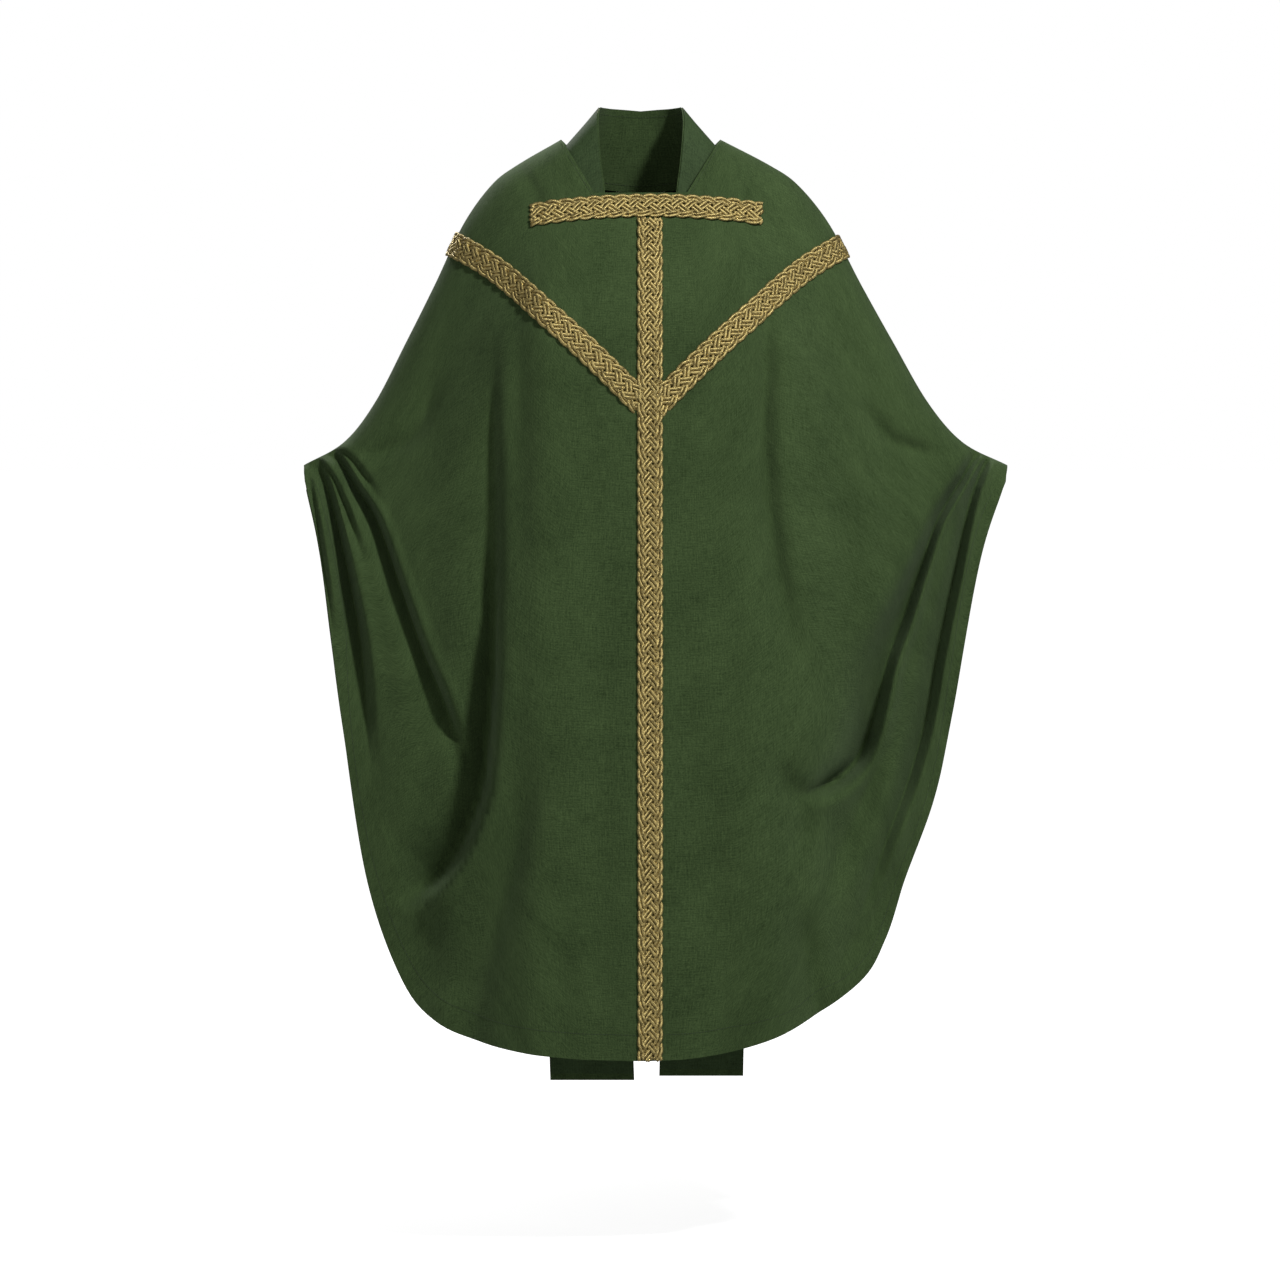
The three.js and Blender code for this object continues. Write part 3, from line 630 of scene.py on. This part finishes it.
def stitches(name, points, normals):
    """A row of stitches over a line of points: short threads that dip into the cloth at both ends."""
    run = lengths_along(points)
    starts = np.arange(int(run[-1] / STITCH_PITCH)) * STITCH_PITCH + (STITCH_PITCH - STITCH_LENGTH) / 2
    shares = np.linspace(0, 1, STITCH_POINTS)
    places = starts[:, None] + shares * STITCH_LENGTH
    rise = STITCH_WIDTH * (np.sin(np.pi * shares) - STITCH_DIP)
    up = sampled(normals, run, places)
    at = sampled(points, run, places) + up * rise[None, :, None]
    return tubes(name, list(at), list(up), STITCH_WIDTH, STITCH_HEIGHT)


# ------ places on a panel


def bilinear(grid, cells):
    """Values of a grid at fractional (column, row) places."""
    column = np.clip(cells[:, 0], 0, grid.shape[0] - 1.001)
    row = np.clip(cells[:, 1], 0, grid.shape[1] - 1.001)
    i, j = column.astype(int), row.astype(int)
    u, v = (column - i)[:, None], (row - j)[:, None]
    return (grid[i, j] * (1 - u) * (1 - v) + grid[i + 1, j] * u * (1 - v)
            + grid[i, j + 1] * (1 - u) * v + grid[i + 1, j + 1] * u * v)


COARSE_STEP = 4
NEWTON_ROUNDS = 12
LONGEST_STEP = 8


def find_cells(panel, places):
    """The (column, row) of places given in X and Z: the nearest coarse cell, then Newton steps."""
    grid = panel["places"]
    coarse = grid[::COARSE_STEP, ::COARSE_STEP]
    rows = coarse.shape[1]
    coarse = coarse.reshape(-1, 2)
    cells = np.zeros((len(places), 2))
    for k, place in enumerate(places):
        nearest = np.argmin(((coarse - place) ** 2).sum(1))
        cells[k] = (COARSE_STEP * (nearest // rows), COARSE_STEP * (nearest % rows))
    limit = np.array(grid.shape[:2]) - 1.0
    half = 0.5
    for _ in range(NEWTON_ROUNDS):
        right = bilinear(grid, cells + [half, 0]) - bilinear(grid, cells - [half, 0])
        down = bilinear(grid, cells + [0, half]) - bilinear(grid, cells - [0, half])
        area = right[:, 0] * down[:, 1] - right[:, 1] * down[:, 0]
        area = np.where(np.abs(area) < 1e-12, 1e-12, area)
        gap = places - bilinear(grid, cells)
        du = (gap[:, 0] * down[:, 1] - gap[:, 1] * down[:, 0]) / area
        dv = (right[:, 0] * gap[:, 1] - right[:, 1] * gap[:, 0]) / area
        step = np.clip(np.stack([du, dv], 1), -LONGEST_STEP, LONGEST_STEP)
        cells = np.clip(cells + step, 0, limit)
    return cells


class Cloth:
    """The outer surface of some panels, on which braid is laid."""

    def __init__(self, names):
        self.points = np.concatenate([panels[name]["points"].reshape(-1, 3) for name in names])
        self.normals = np.concatenate([panels[name]["normals"].reshape(-1, 3) for name in names])
        self.tree = KDTree(len(self.points))
        for i, point in enumerate(self.points):
            self.tree.insert(point, i)
        self.tree.balance()

    def lay(self, places, height):
        """Places moved on to the cloth, at a height above it, and the way up from it."""
        nearest = [self.tree.find(place)[1] for place in places]
        up = self.normals[nearest]
        off = ((places - self.points[nearest]) * up).sum(1)
        return places + up * (height - off)[:, None], up


# ------ braid

STRANDS = 5
LOOP = 0.0196
CORD_WIDTH = 0.0052
CORD_HEIGHT = 0.0032
CORD_APART = 0.0052
CORD_STEP = 0.0026
# How high the cords lie, and how much they rise and fall as they cross
BRAID_LEVEL = 0.0022
BRAID_RISE = 0.0012
RISE_FROM = 0.006
BRAID_SPREAD = 0.0006
# How the ends of a tucked braid sink
TUCK_DEPTH = 0.0030
TUCK = (0.006, 0.024)


def braid_strip(piece_name, runs, tucked=False):
    """A flat braid of five strands, each a pair of cords, over one or more runs of line on panels."""
    cloth = Cloth([name for name, _ in runs])
    route = np.concatenate([
        bilinear(panels[name]["points"], find_cells(panels[name], line)) for name, line in runs])
    route = route[np.concatenate([[True], np.linalg.norm(np.diff(route, axis=0), axis=1) > 1e-5])]
    length = np.linalg.norm(np.diff(route, axis=0), axis=1).sum()
    middle, ups = cloth.lay(respaced(route, max(int(length / CORD_STEP), 8)), 0)
    aside = unit(np.cross(np.gradient(middle, axis=0), ups))
    s = np.linspace(0, length, len(middle))
    from_end = np.minimum(s, length - s)
    period = STRANDS * LOOP
    reach = BRAID_WIDTH / 2 - (CORD_APART + CORD_WIDTH) / 2 + BRAID_SPREAD
    sunk = TUCK_DEPTH * (1 - smooth(*TUCK, from_end)) if tucked else 0
    rising = smooth(0, RISE_FROM, from_end)
    paths, path_ups = [], []
    for strand in range(STRANDS):
        phase = 2 * np.pi * (s / period + strand / STRANDS)
        offset = reach * np.cos(phase)
        slope = -reach * 2 * np.pi / period * np.sin(phase)
        height = BRAID_LEVEL + BRAID_RISE * np.sin((STRANDS - 1) * phase) * rising - sunk
        turn = np.sqrt(1 + slope ** 2)
        for pair in (-1, 1):
            apart = pair * CORD_APART / 2
            at = np.clip(s - apart * slope / turn, 0, length)
            across = offset + apart / turn
            places = sampled(middle, s, at) + sampled(aside, s, at) * across[:, None]
            points, up = cloth.lay(places, height)
            paths.append(points)
            path_ups.append(up)
    return tubes(piece_name, paths, path_ups, CORD_WIDTH, CORD_HEIGHT)


# ------ materials


def set_inputs(tree, made, inputs):
    """Links to a node's inputs where the value is a socket, and plain values where it isn't."""
    for key, value in inputs.items():
        if isinstance(value, bpy.types.NodeSocket):
            tree.links.new(value, made.inputs[key])
        else:
            made.inputs[key].default_value = value


def node(tree, kind, inputs=None, **settings):
    made = tree.nodes.new(kind)
    for key, value in settings.items():
        setattr(made, key, value)
    set_inputs(tree, made, inputs or {})
    return made


def material(name, base, roughness, metallic=0.0):
    made = bpy.data.materials.new(name)
    made.use_nodes = True
    tree = made.node_tree
    shader = tree.nodes["Principled BSDF"]
    set_inputs(tree, shader, {"Base Color": (*base, 1), "Roughness": roughness, "Metallic": metallic})
    return made, tree, shader


def math_node(tree, operation, a, b=0.0):
    return node(tree, "ShaderNodeMath", {0: a, 1: b}, operation=operation).outputs[0]


def colour_mix(tree, share, low, high):
    mix = node(tree, "ShaderNodeMix", {0: share, 6: (*low, 1), 7: (*high, 1)}, data_type="RGBA")
    return mix.outputs[2]


def noise(tree, place, scale, detail=2.0, roughness=0.5):
    inputs = {"Vector": place, "Scale": scale, "Detail": detail, "Roughness": roughness}
    return node(tree, "ShaderNodeTexNoise", inputs).outputs[0]


def slub(tree, uv, wide, long):
    """Noise drawn out along a thread, with its size in metres across the cloth and down it."""
    stretched = node(tree, "ShaderNodeMapping", {0: uv, 3: (1 / wide, 1 / long, 1)})
    return noise(tree, stretched.outputs[0], 1.0)


def weighted(tree, parts):
    """The sum of some values, each times its weight."""
    total = None
    for value, weight in parts:
        part = math_node(tree, "MULTIPLY", value, weight)
        total = part if total is None else math_node(tree, "ADD", total, part)
    return total


def bumps(tree, strength, distance, height):
    inputs = {"Strength": strength, "Distance": distance, "Height": height}
    return node(tree, "ShaderNodeBump", inputs).outputs[0]


# The size of a slub across its thread and along it, and noise in the dye, coarse and fine
SLUB = (0.0016, 0.022)
CLOUD_SCALE = 11.0
FIBRE_SCALE = 420.0
NAP_COLOUR = (0.55, 0.75, 0.45, 1)


def woven(name, dark, light, pitch, sheen, roughness=0.9, depth=0.25):
    """A fine cloth: warp and weft threads, slubs, uneven dye and a soft nap."""
    made, tree, shader = material(name, light, roughness)
    uv = node(tree, "ShaderNodeUVMap", uv_map="cloth").outputs[0]
    split = node(tree, "ShaderNodeSeparateXYZ", {0: uv})
    warp, weft = [
        math_node(tree, "SINE", math_node(tree, "MULTIPLY", split.outputs[k], 2 * math.pi / pitch))
        for k in (0, 1)]
    threads = math_node(tree, "MULTIPLY", warp, weft)
    slubs = math_node(tree, "ADD", slub(tree, uv, *SLUB), slub(tree, uv, *SLUB[::-1]))
    fibres = math_node(tree, "SUBTRACT", noise(tree, uv, FIBRE_SCALE), 0.5)
    cloud = noise(tree, uv, CLOUD_SCALE, 4.0, 0.6)
    tone = weighted(tree, [(slubs, 0.42), (fibres, 0.55), (cloud, 0.35), (threads, 0.10)])
    ranged = node(tree, "ShaderNodeMapRange", {0: tone, 1: 0.35, 2: 0.85})
    height = math_node(tree, "ADD", math_node(tree, "MULTIPLY", threads, 0.5), slubs)
    set_inputs(tree, shader, {
        "Base Color": colour_mix(tree, ranged.outputs[0], dark, light),
        "Normal": bumps(tree, depth, 0.0004, height),
        "Sheen Weight": sheen,
        "Sheen Roughness": 0.6,
        "Sheen Tint": NAP_COLOUR,
        "Specular IOR Level": 0.2,
    })
    return made


GOLD_MEAN = (0.46, 0.36, 0.17)
# The dark and light ends of the cord's colour: painted shade in the grooves of the twist and painted
# highlight on its crests, also used for darker and lighter random wear
GOLD_PAINTED_SHADE_AND_DARK_WEAR = (0.085, 0.060, 0.018)
GOLD_PAINTED_HIGHLIGHT_AND_LIGHT_WEAR = (0.68, 0.54, 0.21)
TWIST_PITCH = 0.0015


def gold_cord(name):
    """Cord wound with flat metal thread: a fine twist in its bumps, and a colour with painted shade in the
    twist's grooves and painted highlight on its crests, mixed with random wear.
    """
    made, tree, shader = material(name, GOLD_MEAN, 0.36, 0.75)
    uv = node(tree, "ShaderNodeUVMap", uv_map="cloth").outputs[0]
    split = node(tree, "ShaderNodeSeparateXYZ", {0: uv})
    run = math_node(tree, "MULTIPLY", split.outputs[0], 2 * math.pi / TWIST_PITCH)
    around = math_node(tree, "MULTIPLY", split.outputs[1], 2 * math.pi)
    twist = math_node(tree, "SINE", math_node(tree, "ADD", run, around))
    spot = node(tree, "ShaderNodeTexCoord").outputs["Object"]
    wear = noise(tree, spot, 260.0, 3.0)
    # Painted shade in the grooves of the twist and painted highlight on its crests, added to the random
    # wear tone to give the colour
    painted_twist_light_and_shade = node(tree, "ShaderNodeMath", {0: twist, 1: 0.22, 2: 0.10}, operation="MULTIPLY_ADD")
    tone = math_node(tree, "ADD", painted_twist_light_and_shade.outputs[0], wear)
    ranged = node(tree, "ShaderNodeMapRange", {0: tone, 1: 0.3, 2: 0.85})
    rough = node(tree, "ShaderNodeMapRange", {0: wear, 1: 0.3, 2: 0.7, 3: 0.32, 4: 0.55})
    set_inputs(tree, shader, {
        "Base Color": colour_mix(tree, ranged.outputs[0], GOLD_PAINTED_SHADE_AND_DARK_WEAR, GOLD_PAINTED_HIGHLIGHT_AND_LIGHT_WEAR),
        "Roughness": rough.outputs[0],
        "Normal": bumps(tree, 0.5, 0.0003, twist),
    })
    return made


# Name, darkest and lightest colour, thread pitch, sheen, roughness and depth of the weave
WOOL = woven("green_wool", (0.014, 0.030, 0.006), (0.064, 0.106, 0.035), 0.0011, 0.12)
FACING_CLOTH = woven("green_facing", (0.016, 0.032, 0.008), (0.060, 0.100, 0.036), 0.0011, 0.1)
LINING = woven("green_lining", (0.016, 0.032, 0.009), (0.054, 0.092, 0.034), 0.0006, 0.05, 0.80, 0.12)
CANVAS = woven("canvas", (0.42, 0.38, 0.29), (0.66, 0.61, 0.48), 0.0014, 0.05, 0.95, 0.5)
LABEL_CLOTH = woven("label_satin", (0.66, 0.62, 0.52), (0.84, 0.80, 0.70), 0.0007, 0.05, 0.6, 0.3)
THREAD = material("green_thread", (0.030, 0.050, 0.020), 0.7)[0]
GOLD = gold_cord("gold_cord")


# ------ chasuble

CLOTH = 0.0013
FACING = 0.0009
# Layers that are sewn together stay this far apart
GAP = 0.00005
LINED = (-CLOTH - FACING, -CLOTH - GAP)
NECK_FACING = 0.055
SEAM_TAPE = 0.018
# How far the rows of stitches lie from the hem and from the neckline
HEM_STITCH = 0.036
NECK_STITCH = 0.006
BAND_ROWS = 9
# A facing ends this many columns short of the wrist
FACING_END = 2
panels = {name: hung_panel(name) for name in PANELS}


def rows_within(panel, distance, from_hem):
    """Points and normals of a band of each column, as deep as distance, at its hem or its top."""
    points, normals = panel["points"], panel["normals"]
    columns = []
    steps = np.linspace(0, 1, BAND_ROWS)
    for column, normal in zip(points, normals):
        run = lengths_along(column)
        reach = min(distance, run[-1] * 0.4)
        wanted = run[-1] - reach * (1 - steps) if from_hem else reach * steps
        columns.append(sampled(np.concatenate([column, normal], 1), run, wanted))
    band = np.array(columns)
    return band[..., :3], band[..., 3:]


def sewn_piece(thing, look, node_name=None):
    """A piece of the chasuble, and the CAD node that it stands for."""
    thing.data.materials.append(look)
    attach(thing, "chasuble")
    if node_name:
        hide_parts(node_name)
    return thing


def facing(name, points, normals, node_name):
    return sewn_piece(shell(name, points, normals, *LINED), FACING_CLOTH, node_name)


def stitch_row(name, points, normals):
    return sewn_piece(stitches(name, points, normals), THREAD)


def make_panel(name, panel):
    """The cloth of one panel and what is sewn to it: facings at the hem and neck, and stitches."""
    near_neck = slice(MIDDLE - NECK_CELLS, MIDDLE + NECK_CELLS + 1)
    cloth = shell(f"{name}_cloth", panel["points"], panel["normals"], -CLOTH, 0)
    sewn_piece(cloth, WOOL, f"{name}_panel")
    along_hem = slice(FACING_END, -FACING_END)
    points, normals = rows_within(panel, HEM_FACING, True)
    hem = facing(f"{name}_hem_band", points[along_hem], normals[along_hem], f"{name}_hem_facing")
    points, normals = rows_within(panel, NECK_FACING, False)
    neck = facing(f"{name}_neck_band", points[near_neck], normals[near_neck], f"{name}_neck_facing")
    along_hem = slice(FACING_END + 1, -FACING_END - 1)
    points, normals = rows_within(panel, HEM_STITCH, True)
    hem_row = stitch_row(f"{name}_hem_stitches", points[along_hem, 0], normals[along_hem, 0])
    points, normals = rows_within(panel, NECK_STITCH, False)
    neck_row = stitch_row(f"{name}_neck_stitches", points[near_neck, -1], normals[near_neck, -1])
    return [cloth, hem, neck, hem_row, neck_row]


def make_seam_tape(side, columns):
    """The tape inside a shoulder seam, over the top of both panels."""
    fronts, backs = [rows_within(panels[name], SEAM_TAPE, False) for name in ("front", "back")]
    points, normals = [
        np.concatenate([front[columns][:, ::-1], back[columns][:, 1:]], 1)
        for front, back in zip(fronts, backs)]
    return facing(f"{side}_seam_tape", points, normals, f"{side}_shoulder_tape")


def make_chasuble():
    made = {name: make_panel(name, panel) for name, panel in panels.items()}
    made["front"] += [
        make_seam_tape("left", slice(1, MIDDLE - NECK_CELLS)),
        make_seam_tape("right", slice(MIDDLE + NECK_CELLS + 1, -1))]
    return made


ARM_BRAID_DROP = 0.388
ARM_BRAID_START = 0.005
ARM_BRAID_LINE = [(0, 0), (0.070, 0.070), (0.133, 0.128), (0.224, 0.205), (0.330, 0.262)]
NECK_BAR = dict(left=0.167, right=0.157, arch=0.013)
# What braid keeps clear of an edge
BRAID_INSET = 0.001


def arm_line(side):
    """The line of an arm braid, from the column to the shoulder seam."""
    points = [(SIGN[side] * across, up - ARM_BRAID_DROP) for across, up in ARM_BRAID_LINE]
    line = spline(points, 1200)
    ridge = shoulder_line(side, 200)
    reach = np.abs(line[:, 0])
    start = np.argmax(reach > ARM_BRAID_START)
    crossing = np.argmax(line[:, 1] > np.interp(reach, np.abs(ridge[:, 0]), ridge[:, 1]))
    return line[start:crossing + 1]


def make_braid(name, runs, node_name, tucked=False):
    sewn_piece(braid_strip(name, runs, tucked), GOLD, node_name)


def make_column(name, top):
    column = np.linspace((0, top), (0, -LENGTH + BRAID_INSET), 120)
    make_braid(f"{name}_centre_braid", [(name, column)], f"{name}_column_braid")


def make_braids():
    bar_x = np.linspace(-NECK_BAR["left"], NECK_BAR["right"], 60)
    bow = NECK_BAR["arch"] * (bar_x / NECK_BAR["left"]) ** 2
    bar_z = -PANELS["front"]["neck"] - BRAID_INSET - BRAID_WIDTH / 2 - bow
    make_braid("neck_bar_braid", [("front", np.stack([bar_x, bar_z], 1))], "front_neck_braid")
    make_column("front", -PANELS["front"]["neck"] - BRAID_WIDTH - BRAID_INSET)
    make_column("back", -PANELS["back"]["neck"] - BRAID_INSET)
    for side in ("left", "right"):
        line = arm_line(side)
        runs = [("front", line), ("back", line[::-1])]
        make_braid(f"{side}_shoulder_braid", runs, f"{side}_arm_braid", tucked=True)


LABEL_HALF = 0.035
LABEL_HEIGHT = 0.030
LABEL_DROP = 0.014
LABEL_THICKNESS = 0.0006
LABEL_GRID = (15, 7)


def make_label():
    """A blank label on the neck facing of the back."""
    back = panels["back"]
    across = np.linspace(-LABEL_HALF, LABEL_HALF, LABEL_GRID[0]) + NECK_SHIFT
    down = -PANELS["back"]["neck"] - LABEL_DROP - np.linspace(0, LABEL_HEIGHT, LABEL_GRID[1])
    places = np.stack(np.meshgrid(across, down, indexing="ij"), 2)
    cells = find_cells(back, places.reshape(-1, 2))
    points, normals = [bilinear(back[key], cells).reshape(*LABEL_GRID, 3) for key in ("points", "normals")]
    depth = CLOTH + FACING
    label = shell("blank_label", points, normals, -depth - LABEL_THICKNESS, -depth - GAP)
    return sewn_piece(label, LABEL_CLOTH, "neck_label")


# ------ stole

STOLE_NECK_HALF = 0.058
STOLE_HINGE = 0.262
STOLE_CHEST = 0.110
STOLE_DROP = {"left": STOLE_FOOT, "right": round(STOLE_FOOT - 0.006, 4)}
STOLE_OUTSIDE = {"left": 0.081, "right": 0.072}
# From behind the neck to the chest: the inner edge of the band, and the way across it
STOLE_STATIONS = [
    ((0.0, 0.062, 0.038), (0, 0.022, -0.116)),
    ((0.024, 0.059, 0.040), (0.014, 0.025, -0.114)),
    ((0.042, 0.050, 0.041), (0.034, 0.028, -0.112)),
    ((STOLE_NECK_HALF - 0.004, 0.030, 0.042), (0.062, 0.018, -0.096)),
    ((STOLE_NECK_HALF, 0.008, 0.041), (0.077, 0.004, -0.091)),
    ((STOLE_NECK_HALF + 0.002, -0.018, 0.0269), (0.084, 0, -0.084)),
    ((STOLE_NECK_HALF + 0.001, -0.036, 0.002), (0.090, -0.003, -0.074)),
    ((STOLE_NECK_HALF - 0.003, -0.050, -0.040), (0.099, -0.003, -0.060)),
    ((STOLE_NECK_HALF - 0.008, -0.061, -0.084), (0.108, -0.001, -0.045)),
    ((STOLE_NECK_HALF - 0.010, -0.088, -0.170), (0.116, 0, -0.018)),
    ((STOLE_NECK_HALF - 0.011, -STOLE_CHEST, -STOLE_HINGE), (0.118, 0, 0)),
]
STOLE_POINTS = 170
STOLE_CELLS = 12
# The stitches run this many cells in from each edge
STITCH_CELL = 1
# Each layer: its two faces, how far it stays in from the edges, its look and its slot
STOLE_LAYERS = {
    "face": (0.0004, 0.0013, 0.0, WOOL, "wool_cloth"),
    "interlining": (-0.0004, 0.0003, 0.003, CANVAS, "canvas_interlining"),
    "lining": (-0.0013, -0.0005, 0.002, LINING, "stole_lining"),
}


def stole_grid(side, inset):
    """Points and normals over one half of the stole, from the middle of the neck to its foot."""
    sign = SIGN[side]
    stations = [
        ((NECK_SHIFT + sign * i[0], i[1], i[2]), (sign * a[0], a[1], a[2])) for i, a in STOLE_STATIONS
    ]
    top = stations[-1][0][0]
    foot = sign * (STOLE_OUTSIDE[side] - STOLE_WIDTH / 2)
    for share in (0.25, 0.5, 0.75, 1):
        level = -STOLE_HINGE - share * (STOLE_DROP[side] - STOLE_HINGE)
        place = (top + (foot - top) * share, -STOLE_CHEST, level)
        stations.append((place, (sign * STOLE_WIDTH, 0, 0)))
    both = spline([i + a for i, a in stations], STOLE_POINTS)
    inner, across = both[:, :3], both[:, 3:]
    across = unit(across) * STOLE_WIDTH
    shares = np.linspace(inset / STOLE_WIDTH, 1 - inset / STOLE_WIDTH, STOLE_CELLS + 1)
    points = inner[:, None] + across[:, None] * shares[None, :, None]
    if inset:
        points = points[:-1]
    normals = grid_normals(points, sign)
    normals[0, :, 0] = 0
    normals[0] = unit(normals[0])
    return points, normals


def make_stole_half(side):
    pieces = []
    for layer, (inner, outer, inset, look, slot) in STOLE_LAYERS.items():
        points, normals = stole_grid(side, inset)
        sheet = shell(f"stole_{side}_{layer}_cloth", points, normals, inner, outer)
        sheet.data.materials.append(look)
        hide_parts(f"stole_neck_{side}_{layer}", f"stole_end_{side}_{layer}")
        pieces.append(sheet)
    points, normals = stole_grid(side, 0)
    face = points + normals * STOLE_LAYERS["face"][1]
    for edge, line in (("inner", STITCH_CELL), ("outer", STOLE_CELLS - STITCH_CELL)):
        row = stitches(f"stole_{side}_{edge}_stitches", face[:, line], normals[:, line])
        row.data.materials.append(THREAD)
        pieces.append(row)
    for piece in pieces:
        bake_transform(piece)


# ------ stage


FLOOR_LEVEL = -1.56
FLOOR_HALF = 60.0
FLOOR_GREY = 0.60
# The floor's glow, near and far
GLOW_AWAY = (0.6, 4.0)
GLOW = (0.62, 1.0)
SKY_LIGHT = 0.11
# Each lamp: where it is, where it points, its size and its watts
LAMPS = {
    "key": ((1.8, -2.5, 2.3), (0, 0, -0.3), 0.45, 142),
    "fill": ((-1.6, -4.2, 1.6), (0, 0, -0.3), 2.0, 26),
    "back": ((-1.9, 3.2, 2.3), (0, 0, -0.4), 1.0, 125),
}
CAMERA_PLACE = (-0.014, -9.0, -0.31)
CAMERA_TARGET = (-0.014, 0, -0.712)
CAMERA_LENS = 178.7


def make_floor():
    """A pale floor that glows for the camera only, so it lights nothing and fades into the sky."""
    mesh = bpy.data.meshes.new("floor")
    signs = ((-1, -1), (1, -1), (1, 1), (-1, 1))
    corners = [(x * FLOOR_HALF, y * FLOOR_HALF, FLOOR_LEVEL) for x, y in signs]
    mesh.from_pydata(corners, [], [(0, 1, 2, 3)])
    floor = bpy.data.objects.new("floor", mesh)
    bpy.context.scene.collection.objects.link(floor)
    look, tree, shader = material("pale_floor", (FLOOR_GREY,) * 3, 0.9)
    spot = node(tree, "ShaderNodeTexCoord").outputs["Object"]
    away = node(tree, "ShaderNodeVectorMath", {0: spot}, operation="LENGTH").outputs["Value"]
    ranges = {0: away, 1: GLOW_AWAY[0], 2: GLOW_AWAY[1], 3: GLOW[0], 4: GLOW[1]}
    glow = node(tree, "ShaderNodeMapRange", ranges, interpolation_type="SMOOTHSTEP")
    seen = node(tree, "ShaderNodeLightPath").outputs["Is Camera Ray"]
    strength = math_node(tree, "MULTIPLY", glow.outputs[0], seen)
    set_inputs(tree, shader, {"Emission Color": (1, 1, 1, 1), "Emission Strength": strength})
    floor.data.materials.append(look)


def make_sky():
    world = bpy.data.worlds.new("studio")
    world.use_nodes = True
    tree = world.node_tree
    seen = node(tree, "ShaderNodeLightPath").outputs["Is Camera Ray"]
    strength = node(tree, "ShaderNodeMapRange", {0: seen, 3: SKY_LIGHT, 4: 1.0})
    set_inputs(tree, tree.nodes["Background"], {0: (1, 1, 1, 1), 1: strength.outputs[0]})
    bpy.context.scene.world = world


def placed(name, data, place, target):
    """A lamp or camera at a place, aimed at a target."""
    thing = bpy.data.objects.new(name, data)
    thing.location = place
    direction = Vector(target) - thing.location
    thing.rotation_euler = direction.to_track_quat("-Z", "Y").to_euler()
    bpy.context.scene.collection.objects.link(thing)
    return thing


def make_stage():
    make_floor()
    make_sky()
    for name, (place, target, size, watts) in LAMPS.items():
        lamp = bpy.data.lights.new(name, "AREA")
        lamp.size = size
        lamp.energy = watts
        placed(name, lamp, place, target)
    camera = bpy.data.cameras.new("camera")
    camera.sensor_width = 36
    camera.lens = CAMERA_LENS
    bpy.context.scene.camera = placed("camera", camera, CAMERA_PLACE, CAMERA_TARGET)
    bpy.context.scene.view_settings.view_transform = "Standard"


make_stage()
chasuble = make_chasuble()
make_braids()
label = make_label()
for side in ("left", "right"):
    make_stole_half(side)
for name in ("front", "back"):
    cloth, *sewn = chasuble[name]
    if name == "back":
        sewn.append(label)
